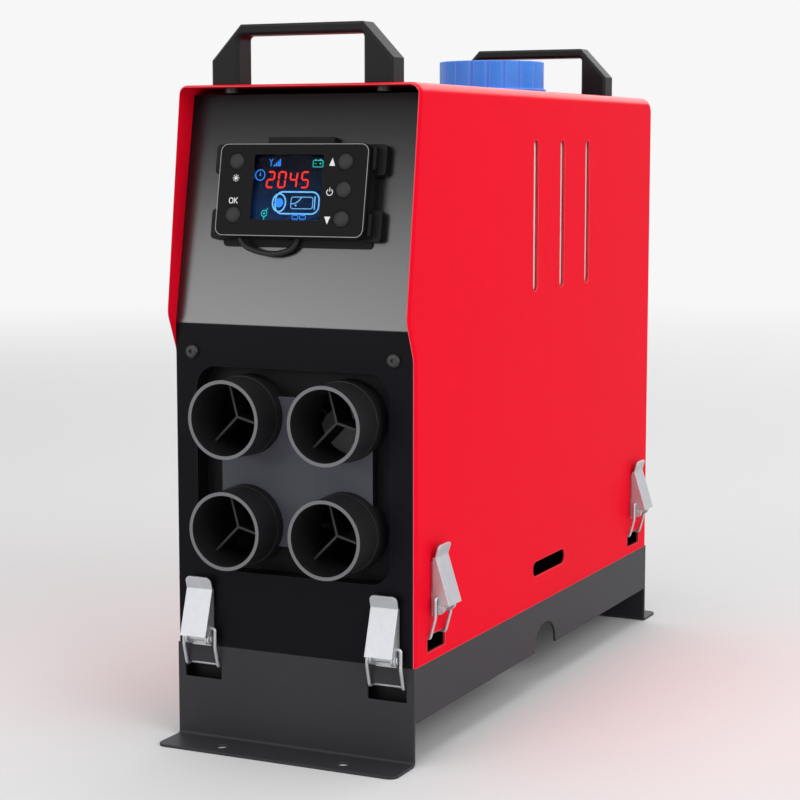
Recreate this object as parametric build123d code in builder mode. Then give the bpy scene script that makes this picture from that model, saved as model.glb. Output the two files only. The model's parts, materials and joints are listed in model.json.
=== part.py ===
# Portable diesel air heater: a red folded sheet cover over a black base tray, with the fuel
# tank in the upper half and the burner, blower and outlet manifold in the lower half.
# Millimetres. +Z is up, the front looks towards -Y, and the origin is on the floor
# under the middle of the base.

from build123d import *
import math
import os

# ---------------------------------------------------------------- driving dimensions

CASE_WIDTH = 150.0          # outside of the cover
CASE_LENGTH = 390.0         # front wall to rear wall of the base
BASE_HEIGHT = 55.0          # floor to the seam between tray and cover
COVER_TOP = 371.0           # floor to the roof
COVER_SHEET = 1.2
BASE_SHEET = 1.5
PANEL_SHEET = 1.5
SEAM_GAP = 0.2              # between nested sheets
RUNNING_GAP = 0.05          # radial, pins and shafts in their holes
SEAT_GAP = 0.3              # between pieces that move past each other
CUT_OVER = 1.0              # how far a cut starts outside its piece
HEAD_ROUND = 0.7            # share of a screw's or rivet's head that is rounded

# base tray
FLANGE_OUT = 25.0
FLANGE_CORNER = 5.0
FOOT_HOLE_DIA = 7.0
FOOT_HOLE_SPREAD = 76.8
FOOT_HOLE_OUT = 14.0
SIDE_SKIRT_Z = 24.0         # lower edge of the side walls
PAN_Z = 48.5                # underside of the pan
LIP_HEIGHT = 5.0            # joggled lip inside the cover
STIFFENER_SET = 8.0         # turned-down walls under the pan, in from the end walls
EAR_MARGIN = 10.0
EAR_RISE = 8.0
ARCH_WIDTH = 35.6
ARCH_TOP_Z = 40.0
ARCH_CORNER = 15.0

# cover
HOOD_FOOT_Z = 223.0
HOOD_NOSE_Z = 244.0
HOOD_NOSE_OUT = 11.0        # nose ahead of the front wall
HOOD_TOP_BACK = 5.3         # roof's front edge behind the front wall
HOOD_FOOT_RADIUS = 10.0
HOOD_NOSE_RADIUS = 14.0
HOOD_TOP_RADIUS = 3.0
COVER_LIP = 2.0             # cover's front edge ahead of the front wall
ROOF_RADIUS = 6.0
REAR_ROOF_RADIUS = 10.0
REAR_TURNDOWN = 14.0
REAR_OVERLAP = 3.0
OBLONG_LENGTH = 55.0
OBLONG_HEIGHT = 9.4
OBLONG_Y = 5.0
OBLONG_Z = 77.4
VENT_LENGTH = 91.5
VENT_WIDTH = 7.6
VENT_PITCH = 44.5
VENT_Y = 22.3
VENT_Z = 295.8
VENT_COUNT = 3

# front panel
FOLD_Z = 239.0
CONSOLE_LEAN = 10.3         # degrees back from upright
CONSOLE_TOP_Z = 366.0
PANEL_RETURN = 12.0
RECESS_WIDTH = 121.0
RECESS_HEIGHT = 115.8
RECESS_CORNER = 12.5
PANEL_SCREW_SET = 12.3      # in from the cover's side
PANEL_SCREW_Z = 223.0
SCREW_DIA = 4.0
SCREW_HEAD_DIA = 8.0
SCREW_HEAD_HEIGHT = 2.6
HEX_SOCKET = 2.5
SOCKET_DEPTH = 1.4

# outlet manifold
OUTLET_PITCH = 62.0
OUTLET_DIA = 44.0
OUTLET_WALL = 2.0
OUTLET_REACH = 22.0         # ahead of the front wall
OUTLET_Z = 157.3            # middle of the four outlets, and the heater's axis
RECESS_DEPTH = 12.0
PAD_PROUD = 7.0
PAD_WIDTH = 94.6
PAD_HEIGHT = 84.5
PAD_CORNER = 4.0
MANIFOLD_WALL = 2.0
MANIFOLD_FLANGE = 3.0
OUTLET_GRIP = 21.0          # plain length for a hose, ahead of the stop
OUTLET_STOP = 0.5           # step that stops the hose
VANE_SHEET = 1.4
VANE_SET = 16.0             # vanes behind the rim
VANE_COUNT = 3
VANE_START = 105.0          # first vane's angle

# handles
HANDLE_WIDTH = 112.0
HANDLE_HEIGHT = 33.0
HANDLE_DEPTH = 16.0
HANDLE_CORNER_RUN = 18.4
HANDLE_CORNER_DROP = 19.5
HANDLE_LEG = 17.4
HANDLE_BAR = 6.0
HANDLE_EDGE = 1.5
FRONT_HANDLE_SET = 20.0     # behind the front wall
REAR_HANDLE_SET = 37.0      # ahead of the rear wall
HANDLE_SCREW_DIA = 5.0
HANDLE_SCREW_HEAD = 3.0
HANDLE_SCREW_REACH = 10.0
WINDOW_CORNER = 2.5

# fuel tank and cap
TANK_SIDE_GAP = 1.2         # between the tank and the cover
TANK_FRONT_GAP = 70.0
TANK_REAR_GAP = 35.0
TANK_HEIGHT = 128.0
TANK_WALL = 2.5
TANK_CORNER = 12.0
SHELF_Z = 228.0
SHELF_FLANGE = 9.0
NECK_SET = 75.0             # neck ahead of the tank's rear
NECK_DIA = 50.0
NECK_WALL = 3.5
NECK_RISE = 15.0            # above the roof
CAP_DIA = 72.0
CAP_HEIGHT = 20.5
CAP_WALL = 3.0
CAP_RIM = 1.5               # flange at the cap's foot
CAP_RIM_HEIGHT = 2.5
CAP_GRIP_COUNT = 20
CAP_LIFT_GAP = 1.5          # cap above the roof
SEAL_HEIGHT = 1.6
CAP_EDGE = 0.8
CAP_GROOVE = 3.0

# controller
CONTROL_Z = 311.4
CONTROL_WIDTH = 92.4
CONTROL_HEIGHT = 52.0
CONTROL_CORNER = 5.0
CONTROL_PROUD = 12.6
CONTROL_WALL = 1.8
BACK_COVER_DEPTH = 3.6
BACK_COVER_EDGE = 1.0
CRADLE_DEPTH = 5.0
SCREEN_WIDTH = 43.0
SCREEN_HEIGHT = 36.0
SCREEN_CORNER = 1.0
SCREEN_X = -2.6
SCREEN_RISE = 1.5
LENS_DEPTH = 1.2
BUTTON_DIA = 8.8
BUTTON_PROUD = 1.1
BUTTON_TRAVEL = 0.7
BUTTON_GAP = 0.15
BUTTON_FLANGE = 0.9
BUTTON_COLUMN = 32.2        # right column
BUTTON_SET_COLUMN = -34.9   # left column
BUTTON_ROW = 15.6
BUTTON_OK_RISE = -14.1
BUTTON_POWER_RISE = 0.3
BOARD_SHEET = 1.4
LEAD_DIA = 3.2
LEAD_EXIT_X = -33.0
LEAD_HOLE_X = 2.0
LEAD_HOLE_RISE = -14.0
LEAD_HOLE_DIA = 5.2
GROMMET_LIP = 0.8
FACE_EDGE = 1.2
LENS_SUNK = 0.4
LENS_STEP = 2.0
SWITCH_SIDE = 6.0
CRADLE_RAIL = 3.0
CRADLE_LIP_DROP = 4.0       # thin lip that shows below the controller
CRADLE_LIP_SHEET = 1.2
CRADLE_TAB_WIDTH = 41.0
CRADLE_TAB_RISE = 4.5
CRADLE_EAR_OUT = 6.5
CRADLE_EAR_RISE = 18.0
CRADLE_EAR_HEIGHT = 17.0
CRADLE_EAR_CORNER = 2.5
CRADLE_HOOK = 2.0
CRADLE_HOOK_REACH = 4.5

# lead from the controller, looped below it and back through the console:
# across, up and out from the middle of the console
LEAD_ROUTE = [
    (LEAD_EXIT_X, -23.0, 7.0), (LEAD_EXIT_X, -30.5, 6.8), (-24.0, -36.0, 5.5), (-11.0, -37.0, 4.0),
    (0.5, -32.0, 3.3), (LEAD_HOLE_X, -22.0, 3.2), (LEAD_HOLE_X, LEAD_HOLE_RISE, 3.2),
    (LEAD_HOLE_X, LEAD_HOLE_RISE, -8.0),
]
LEAD_RADII = [9.0, 11.0, 12.0, 11.0, 12.0, 2.2]

# toggle latches: outward from the wall, upward along it
PIVOT_OUT = 5.0
PIVOT_DIA = 3.0
LEVER_WIDTH = 16.5
LEVER_SHEET = 1.0
LEVER_HEEL_OUT = 11.6
LEVER_HEEL_UP = 2.0
LEVER_SHOULDER_OUT = 3.4
LEVER_SHOULDER_UP = 28.2
LEVER_TIP_OUT = 5.6
LEVER_TIP_UP = 35.0
LEVER_TAB_CORNER = 3.0
LEVER_LOBE = 3.3
PLATE_SHEET = 1.2
PLATE_WIDTH = 13.2
PLATE_FOOT = -5.0
PLATE_HEAD = 26.0
PLATE_CORNER = 1.0
EAR_RADIUS = 3.3
EYE_OUT = 4.0
EYE_UP = 6.0
WIRE_DIA = 1.9
WIRE_SPREAD = 20.4
WIRE_TAIL = 0.6             # wire inside each cheek
WIRE_KNEE = -5.0
WIRE_HEEL_OUT = 0.8
WIRE_BEND = 1.4
WIRE_SWEEP = 12.0
PIN_HEAD = 0.5
HOOK_INSIDE = 4.2           # hook's bar behind the wall's face
SLOT_TOP = -15.0
SLOT_HEIGHT = 9.5
SLOT_WIDTH = 24.0
SLOT_CORNER = 0.8
HOOK_GAP = 0.6
RIVET_DIA = 3.0
RIVET_HEAD_DIA = 5.4
RIVET_HEAD = 1.0
RIVET_UPS = (11.0, 20.0)
FRONT_PIVOT_Z = 60.0
SIDE_PIVOT_Z = 85.0
FRONT_LATCH_SET = 16.7      # in from the cover's side
SIDE_LATCH_SET = 28.4       # in from the end walls

# heater core
CORE_WIDTH = 115.0
CORE_HEIGHT = 122.0
CORE_CORNER = 38.0
CORE_WALL = 2.5
CORE_FRONT_GAP = 77.0
CORE_REAR_GAP = 30.0
NOZZLE_DIA = 76.0
NOZZLE_GAP = 45.0           # nozzle behind the front wall
INTAKE_DIA = 96.0
EXCHANGER_INSET = 10.0
EXCHANGER_MOTOR_GAP = 28.0
EXCHANGER_DIA = 64.0
EXCHANGER_BORE = 54.0
FIN_DIA = 100.0
FIN_SHEET = 1.8
FIN_COUNT = 20
BURNER_DIA = 44.0
BURNER_LENGTH = 78.0
BURNER_WALL = 1.5
BURNER_FLANGE_DIA = 64.0
BURNER_FLANGE = 3.0
MOTOR_LENGTH = 50.0
MOTOR_DIA = 54.0
MOTOR_EDGE = 3.0
SHAFT_DIA = 5.0
SHAFT_REACH = 14.0          # past the motor in front, and past the fan's middle
SHAFT_EDGE = 0.5
FAN_DIA = 98.0
FAN_HUB_DIA = 30.0
FAN_DEPTH = 20.0
FAN_INSET = 33.0            # fan's middle ahead of the case's rear
FAN_MOTOR_GAP = 20.0
FAN_BLADES = 7
BLADE_SHEET = 2.0
BLADE_ROOT_PITCH = 38.0
BLADE_TIP_PITCH = 62.0
WHEEL_DIA = 46.0
WHEEL_DEPTH = 9.0
WHEEL_VANES = 10
EXHAUST_SET = 44.0          # behind the exchanger's front
EXHAUST_DIA = 24.0
INLET_SET = 14.0            # behind the motor's front
INLET_DIA = 20.0
PIPE_WALL = 1.2
PIPE_FOOT_Z = 26.0
PIPE_HOLE_GAP = 1.0
PUMP_DIA = 27.0
PUMP_LENGTH = 66.0
PUMP_SET = 79.0             # pump's middle ahead of the rear wall
PUMP_X = -26.0
PUMP_EDGE = 2.0
PUMP_Z = 70.0
PLUNGER_DIA = 9.0
PLUNGER_LENGTH = 26.0
PLUNGER_STROKE = 2.0
LINE_DIA = 5.0
GRILLE_DIA = 106.0
GRILLE_HOLE_DIA = 92.0
GRILLE_SHEET = 1.6
GLAND_X = 46.0              # to the right, seen from behind
GLAND_Z = 82.0
GLAND_BORE = 8.0
GLAND_THREAD = 16.0
GRILLE_SCREW_CIRCLE = 99.0
GRILLE_SCREW_DIA = 2.6
GRILLE_ROWS = 6
GRILLE_SLOT = 3.6
GRILLE_SLOT_PITCH = 6.4
GRILLE_RIM = 3.0
DUCT_CORNER = 14.0
DUCT_WALL = 1.6
DUCT_EASE = 2.0
DUCT_OVERLAP = 8.0
LINE_SIDE_SET = 13.0        # supply line in from the cover's side
LINE_REAR_SET = 49.0
LINE_BEND_Z = 96.0          # where the supply line starts to turn level
LINE_LEAN = 10.0
LINE_SWING = 26.0           # loop behind its drop
LINE_LOOP = 34.0
LINE_APPROACH = 24.0
SUPPLY_RADII = [16.0, 16.0, 18.0, 8.0]
FEED_RUN = 12.0
FEED_DROP = 2.0
FEED_RADII = [10.0, 12.0]
LINE_BORE = 3.0
LINE_NIPPLE = 10.0
SHELF_SLOT = 60.0
CASE_BEAD = 1.5
BURNER_FEED_SET = 9.0       # feed behind the exchanger
BURNER_NECK = 10.0
BURNER_HOLE_ROWS = (20.0, 40.0)
BURNER_HOLE = 6.0
PLUG_DIA = 6.0
PLUG_REACH = 6.0
PLUG_LENGTH = 26.0
PLUG_HEX = 6.0
BRACKET_FRONT_SET = 22.0
BRACKET_REAR_SET = 8.0
BRACKET_WIDTH = 84.0
BRACKET_FOOT = 12.0
BRACKET_DEPTH = 14.0
FIN_SETBACK = 10.0
MOTOR_FOOT = 28.0
MOTOR_FOOT_BORE = 20.0
BLADE_ROOT_CHORD = 19.0
BLADE_TIP_CHORD = 26.0
WHEEL_POCKET = 7.0
UNIT_WIDTH = 62.0
UNIT_HEIGHT = 22.0
UNIT_CORNER = 3.0
UNIT_EDGE = 1.5
PIPE_BEAD = 1.5
PIPE_GRIP = 18.0
PUMP_NIPPLE = 8.0
CLIP_WIDTH = 16.0
CLIP_WALL = 2.5
GLAND_RIM = 3.0
GLAND_LENGTH = 9.0
GLAND_NUT = 5.0
GLAND_EDGE = 2.0
BOSS_WALL = 3.0
MOTOR_FOOT_INSET = 6.0

# ---------------------------------------------------------------- shared places

front_y = -CASE_LENGTH / 2
rear_y = CASE_LENGTH / 2
cover_inner = CASE_WIDTH / 2 - COVER_SHEET          # half width inside the cover
lip_outer = cover_inner - SEAM_GAP                  # half width outside the tray's lip
roof_under = COVER_TOP - COVER_SHEET
lean = math.radians(CONSOLE_LEAN)
panel_back = front_y + PANEL_SHEET
console_top_y = front_y + (CONSOLE_TOP_Z - FOLD_Z) * math.tan(lean)
pan_top = PAN_Z + BASE_SHEET
shelf_top = SHELF_Z + BASE_SHEET
outlet_front = front_y - OUTLET_REACH
outlet_spots = [(x * OUTLET_PITCH / 2, z * OUTLET_PITCH / 2) for x in (-1, 1) for z in (-1, 1)]

# along the case: everything keeps its distance from the wall that it belongs to
front_handle_y = front_y + FRONT_HANDLE_SET
rear_handle_y = rear_y - REAR_HANDLE_SET
front_latch_x = CASE_WIDTH / 2 - FRONT_LATCH_SET
side_latch_y = rear_y - SIDE_LATCH_SET
panel_screw_x = CASE_WIDTH / 2 - PANEL_SCREW_SET
tank_width = 2 * (cover_inner - TANK_SIDE_GAP)
tank_front_y = front_y + TANK_FRONT_GAP
tank_rear_y = rear_y - TANK_REAR_GAP
neck_y = tank_rear_y - NECK_SET
nozzle_y = front_y + NOZZLE_GAP
core_front_y = front_y + CORE_FRONT_GAP
core_rear_y = rear_y - CORE_REAR_GAP
fan_y = core_rear_y - FAN_INSET
motor_rear_y = fan_y - FAN_MOTOR_GAP
motor_front_y = motor_rear_y - MOTOR_LENGTH
shaft_front_y = motor_front_y - SHAFT_REACH
shaft_rear_y = fan_y + SHAFT_REACH
exchanger_front_y = core_front_y + EXCHANGER_INSET
exchanger_rear_y = motor_front_y - EXCHANGER_MOTOR_GAP
burner_feed_y = exchanger_rear_y + BURNER_FEED_SET
exhaust_y = exchanger_front_y + EXHAUST_SET
inlet_y = motor_front_y + INLET_SET
bracket_front_y = core_front_y + BRACKET_FRONT_SET
bracket_rear_y = core_rear_y - BRACKET_REAR_SET
pump_y = rear_y - PUMP_SET
line_x = CASE_WIDTH / 2 - LINE_SIDE_SET
line_y = rear_y - LINE_REAR_SET

os.makedirs("parts", exist_ok=True)


def save(piece, name):
    """Label a finished piece and write it as parts/name.step."""
    piece.label = name
    export_step(piece, f"parts/{name}.step")


def facing_rear(y):
    """A plane across the heater at y as seen from behind: x to the right, y up, normal rearward."""
    return Plane(origin=(0, y, 0), x_dir=(-1, 0, 0), z_dir=(0, 1, 0))


def facing_front(y):
    """A plane across the heater at y, its normal towards the front."""
    return Plane(origin=(0, y, 0), x_dir=(1, 0, 0), z_dir=(0, -1, 0))


# side view: x runs to the rear, y up, and extrusions run along the width
side_view = Plane(origin=(0, 0, 0), x_dir=(0, 1, 0), z_dir=(1, 0, 0))

# ---------------------------------------------------------------- latch places


def wall_frame(x, y, z, across, outward):
    """A latch's own frame: x across the latch, y up the wall, z out of the wall."""
    return Plane(origin=(x, y, z), x_dir=across, z_dir=outward)


latch_frames = {}
for side, sign in (("left", -1), ("right", 1)):
    latch_frames[f"front_{side}"] = wall_frame(
        sign * front_latch_x, front_y, FRONT_PIVOT_Z, (1, 0, 0), (0, -1, 0))
    for end, along in (("front", -1), ("rear", 1)):
        latch_frames[f"{side}_{end}"] = wall_frame(
            sign * CASE_WIDTH / 2, along * side_latch_y, SIDE_PIVOT_Z, (0, sign, 0), (sign, 0, 0))

slot_middle = SLOT_TOP - SLOT_HEIGHT / 2
wall_depth = COVER_SHEET + SEAM_GAP + BASE_SHEET    # cover and tray ear together


def cut_latch_slots(names, depth):
    """Cut the hook's slot and nothing else, below each named latch."""
    for name in names:
        frame = latch_frames[name]
        with BuildSketch(frame) as slot:
            with Locations((0, slot_middle)):
                RectangleRounded(SLOT_WIDTH, SLOT_HEIGHT, SLOT_CORNER)
        extrude(slot.sketch, amount=-depth, mode=Mode.SUBTRACT)


def cut_rivet_holes(names, depth):
    """Drill the rivet holes behind each named latch's plate."""
    for name in names:
        with BuildSketch(latch_frames[name]) as holes:
            with Locations(*[(0, up) for up in RIVET_UPS]):
                Circle(RIVET_DIA / 2)
        extrude(holes.sketch, amount=-depth, mode=Mode.SUBTRACT)


front_latches = [name for name in latch_frames if name.startswith("front")]
side_latches = [name for name in latch_frames if not name.startswith("front")]

# ---------------------------------------------------------------- base tray

skirt = CASE_WIDTH / 2 - SEAM_GAP
pan_length = CASE_LENGTH - 2 * BASE_SHEET
ear_width = SLOT_WIDTH + 2 * EAR_MARGIN
ear_top = SIDE_PIVOT_Z + SLOT_TOP + EAR_RISE

with BuildPart() as base_tray:
    # folded skirt: a rectangular ring from the side walls' edge up to the seam
    with BuildSketch(Plane.XY.offset(SIDE_SKIRT_Z)):
        Rectangle(2 * skirt, CASE_LENGTH)
        Rectangle(2 * (skirt - BASE_SHEET), pan_length, mode=Mode.SUBTRACT)
    extrude(amount=BASE_HEIGHT - SIDE_SKIRT_Z)
    # pan
    with BuildSketch(Plane.XY.offset(PAN_Z)):
        Rectangle(2 * skirt - BASE_SHEET, pan_length + BASE_SHEET)
    extrude(amount=BASE_SHEET)
    # stiffening walls turned down behind the front and rear walls
    with BuildSketch(Plane.XY.offset(SIDE_SKIRT_Z)):
        with GridLocations(0, CASE_LENGTH - 2 * STIFFENER_SET - BASE_SHEET, 1, 2):
            Rectangle(2 * skirt - BASE_SHEET, BASE_SHEET)
    extrude(amount=PAN_Z - SIDE_SKIRT_Z)
    # joggled lip that stands inside the cover and the panels
    lip_length = CASE_LENGTH - 2 * (PANEL_SHEET + SEAM_GAP)
    with BuildSketch(Plane.XY.offset(PAN_Z)):
        Rectangle(2 * lip_outer, lip_length)
        Rectangle(2 * (lip_outer - BASE_SHEET), lip_length - 2 * BASE_SHEET, mode=Mode.SUBTRACT)
    extrude(amount=BASE_HEIGHT + LIP_HEIGHT - PAN_Z)
    # ears behind the cover's slots, for the side latches to pull on
    for sign in (-1, 1):
        ear_plane = Plane(origin=(sign * lip_outer, 0, 0), x_dir=(0, 1, 0), z_dir=(1, 0, 0))
        with BuildSketch(ear_plane):
            with Locations(*[(along * side_latch_y, (PAN_Z + ear_top) / 2) for along in (-1, 1)]):
                Rectangle(ear_width, ear_top - PAN_Z)
        extrude(amount=-sign * BASE_SHEET)
    # front and rear walls down to the floor, with their feet turned outward
    for sign in (-1, 1):
        with BuildSketch(side_view):
            with BuildLine():
                FilletPolyline(
                    (sign * (rear_y - BASE_SHEET), BASE_HEIGHT - CUT_OVER),
                    (sign * (rear_y - BASE_SHEET), 0),
                    (sign * (rear_y + FLANGE_OUT), 0),
                    (sign * (rear_y + FLANGE_OUT), BASE_SHEET),
                    (sign * rear_y, BASE_SHEET),
                    (sign * rear_y, BASE_HEIGHT - CUT_OVER),
                    radius=[2.0 * BASE_SHEET, 0, 0, BASE_SHEET],
                )
                Line((sign * rear_y, BASE_HEIGHT - CUT_OVER),
                     (sign * (rear_y - BASE_SHEET), BASE_HEIGHT - CUT_OVER))
            make_face()
        extrude(amount=skirt, both=True)
    foot_corners = base_tray.edges().filter_by(Axis.Z).group_by(
        SortBy.DISTANCE)[-1]
    fillet(foot_corners, FLANGE_CORNER)
    # foot holes
    with BuildSketch(Plane.XY):
        with GridLocations(FOOT_HOLE_SPREAD, CASE_LENGTH + 2 * FOOT_HOLE_OUT, 2, 2):
            Circle(FOOT_HOLE_DIA / 2)
    extrude(amount=2 * BASE_SHEET, mode=Mode.SUBTRACT)
    # arches in the side walls
    with BuildSketch(side_view):
        with BuildLine():
            FilletPolyline(
                (-ARCH_WIDTH / 2, SIDE_SKIRT_Z - CUT_OVER),
                (-ARCH_WIDTH / 2, ARCH_TOP_Z),
                (ARCH_WIDTH / 2, ARCH_TOP_Z),
                (ARCH_WIDTH / 2, SIDE_SKIRT_Z - CUT_OVER),
                radius=ARCH_CORNER,
            )
            Line((ARCH_WIDTH / 2, SIDE_SKIRT_Z - CUT_OVER), (-ARCH_WIDTH / 2, SIDE_SKIRT_Z - CUT_OVER))
        make_face()
    extrude(amount=CASE_WIDTH, both=True, mode=Mode.SUBTRACT)
    # pipe holes in the pan
    with BuildSketch(Plane.XY.offset(PAN_Z)):
        with Locations((0, exhaust_y)):
            Circle(EXHAUST_DIA / 2 + PIPE_HOLE_GAP)
        with Locations((0, inlet_y)):
            Circle(INLET_DIA / 2 + PIPE_HOLE_GAP)
    extrude(amount=BASE_SHEET, mode=Mode.SUBTRACT)
    cut_latch_slots(front_latches, 2 * BASE_SHEET)
    cut_latch_slots(side_latches, wall_depth)
save(base_tray.part, "base_tray")

# ---------------------------------------------------------------- red cover

nose = (front_y - HOOD_NOSE_OUT, HOOD_NOSE_Z)
roof_front = (front_y + HOOD_TOP_BACK, COVER_TOP)
cover_front = front_y - COVER_LIP
cover_rear = rear_y + COVER_LIP

with BuildPart() as outer_cover:
    with BuildSketch(side_view):
        with BuildLine():
            FilletPolyline(
                (cover_front, BASE_HEIGHT), (cover_front, HOOD_FOOT_Z), nose, roof_front,
                (cover_rear, COVER_TOP), (cover_rear, BASE_HEIGHT),
                radius=[HOOD_FOOT_RADIUS, HOOD_NOSE_RADIUS, HOOD_TOP_RADIUS, REAR_ROOF_RADIUS],
            )
            Line((cover_rear, BASE_HEIGHT), (cover_front, BASE_HEIGHT))
        make_face()
    extrude(amount=CASE_WIDTH / 2, both=True)
    roof_edges = outer_cover.edges().filter_by(GeomType.LINE).filter_by(Axis.Y).group_by(Axis.Z)[-1]
    fillet(roof_edges, ROOF_RADIUS)
    # hollow it, open at the front and below, with the roof turned down at the rear
    inner_rear = cover_rear - COVER_SHEET
    turndown_z = COVER_TOP - REAR_TURNDOWN
    with BuildPart(mode=Mode.SUBTRACT):
        with BuildSketch(side_view):
            with BuildLine():
                FilletPolyline(
                    (cover_front - HOOD_NOSE_OUT, BASE_HEIGHT - CUT_OVER),
                    (cover_front - HOOD_NOSE_OUT, roof_under),
                    (inner_rear, roof_under), (inner_rear, turndown_z), (cover_rear + CUT_OVER, turndown_z),
                    (cover_rear + CUT_OVER, BASE_HEIGHT - CUT_OVER),
                    radius=[0, REAR_ROOF_RADIUS - COVER_SHEET, 0, 0],
                )
                Line((cover_rear + CUT_OVER, BASE_HEIGHT - CUT_OVER),
                     (cover_front - HOOD_NOSE_OUT, BASE_HEIGHT - CUT_OVER))
            make_face()
        extrude(amount=cover_inner, both=True)
        inner_edges = edges().filter_by(GeomType.LINE).filter_by(Axis.Y).group_by(Axis.Z)[-1]
        fillet(inner_edges, ROOF_RADIUS - COVER_SHEET)
    # long vents over the tank, and the oblong sight holes
    with BuildSketch(side_view):
        with Locations((VENT_Y, VENT_Z)):
            with GridLocations(VENT_PITCH, 0, VENT_COUNT, 1):
                SlotOverall(VENT_LENGTH, VENT_WIDTH, rotation=90)
        with Locations((OBLONG_Y, OBLONG_Z)):
            SlotOverall(OBLONG_LENGTH, OBLONG_HEIGHT)
    extrude(amount=CASE_WIDTH, both=True, mode=Mode.SUBTRACT)
    # filler hole and handle screw holes in the roof
    with BuildSketch(Plane.XY.offset(COVER_TOP)):
        with Locations((0, neck_y)):
            Circle(NECK_DIA / 2 + 2 * PIPE_HOLE_GAP)
        for handle_y in (front_handle_y, rear_handle_y):
            with Locations((0, handle_y)):
                with GridLocations(HANDLE_WIDTH - HANDLE_LEG, 0, 2, 1):
                    Circle(HANDLE_SCREW_DIA / 2)
    extrude(amount=-2 * COVER_SHEET, mode=Mode.SUBTRACT)
    cut_latch_slots(side_latches, 2 * COVER_SHEET)
    cut_rivet_holes(side_latches, 2 * COVER_SHEET)
save(outer_cover.part, "outer_cover")

# ---------------------------------------------------------------- front and rear panels

panel_foot = BASE_HEIGHT + SEAM_GAP
return_y = console_top_y + PANEL_RETURN
shelf_flange_z = SHELF_Z - SHELF_FLANGE

with BuildPart() as front_panel:
    # one folded sheet: upright face, console leaning back, and a return under the roof
    with BuildSketch(side_view):
        with BuildLine() as fold:
            outside = Polyline((front_y, panel_foot), (front_y, FOLD_Z),
                               (console_top_y, CONSOLE_TOP_Z), (return_y, CONSOLE_TOP_Z))
            offset(outside, amount=PANEL_SHEET, side=Side.RIGHT)
        make_face()
    extrude(amount=lip_outer, both=True)
    # recess opening, its edge square to the sheet
    with BuildSketch(facing_front(front_y)):
        with Locations((0, OUTLET_Z)):
            RectangleRounded(RECESS_WIDTH, RECESS_HEIGHT, RECESS_CORNER)
        with Locations(*[(sign * panel_screw_x, PANEL_SCREW_Z) for sign in (-1, 1)]):
            Circle(SCREW_DIA / 2)
    extrude(amount=-2 * PANEL_SHEET, mode=Mode.SUBTRACT)
    cut_rivet_holes(front_latches, 2 * PANEL_SHEET)
    # the controller lead's hole in the console
    console = Plane(
        origin=(0, front_y + (CONTROL_Z - FOLD_Z) * math.tan(lean), CONTROL_Z),
        x_dir=(1, 0, 0), z_dir=(0, -math.cos(lean), math.sin(lean)))
    with BuildSketch(console):
        with Locations((LEAD_HOLE_X, LEAD_HOLE_RISE)):
            Circle(LEAD_HOLE_DIA / 2)
    extrude(amount=-2 * PANEL_SHEET, mode=Mode.SUBTRACT)
save(front_panel.part, "front_panel")

with BuildPart() as rear_panel:
    rear_panel_top = turndown_z + REAR_OVERLAP
    with BuildSketch(facing_rear(rear_y)):
        with Locations((0, (panel_foot + rear_panel_top) / 2)):
            Rectangle(2 * lip_outer, rear_panel_top - panel_foot)
        chamfer(vertices().group_by(Axis.Y)[-1], ROOF_RADIUS)
        with Locations((0, OUTLET_Z)):
            Circle(GRILLE_HOLE_DIA / 2, mode=Mode.SUBTRACT)
        with Locations((GLAND_X, GLAND_Z)):
            Circle(GLAND_THREAD / 2, mode=Mode.SUBTRACT)
        with Locations(*[(sign * panel_screw_x, PANEL_SCREW_Z) for sign in (-1, 1)]):
            Circle(SCREW_DIA / 2, mode=Mode.SUBTRACT)
        with Locations((0, OUTLET_Z)):
            with PolarLocations(GRILLE_SCREW_CIRCLE / 2, 4, start_angle=45):
                Circle(GRILLE_SCREW_DIA / 2, mode=Mode.SUBTRACT)
    extrude(amount=-PANEL_SHEET)
save(rear_panel.part, "rear_panel")

with BuildPart() as intake_grille:
    with BuildSketch(facing_rear(rear_y)):
        with Locations((0, OUTLET_Z)):
            Circle(GRILLE_DIA / 2)
            with PolarLocations(GRILLE_SCREW_CIRCLE / 2, 4, start_angle=45):
                Circle(GRILLE_SCREW_DIA / 2, mode=Mode.SUBTRACT)
            # rows of slots, the longest in the middle
            for row in range(-GRILLE_ROWS, GRILLE_ROWS + 1):
                rise = row * GRILLE_SLOT_PITCH
                reach = math.sqrt((GRILLE_HOLE_DIA / 2 - GRILLE_RIM) ** 2 - rise ** 2)
                with Locations((0, rise)):
                    SlotOverall(2 * reach, GRILLE_SLOT, mode=Mode.SUBTRACT)
    extrude(amount=GRILLE_SHEET)
save(intake_grille.part, "intake_grille")

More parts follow.
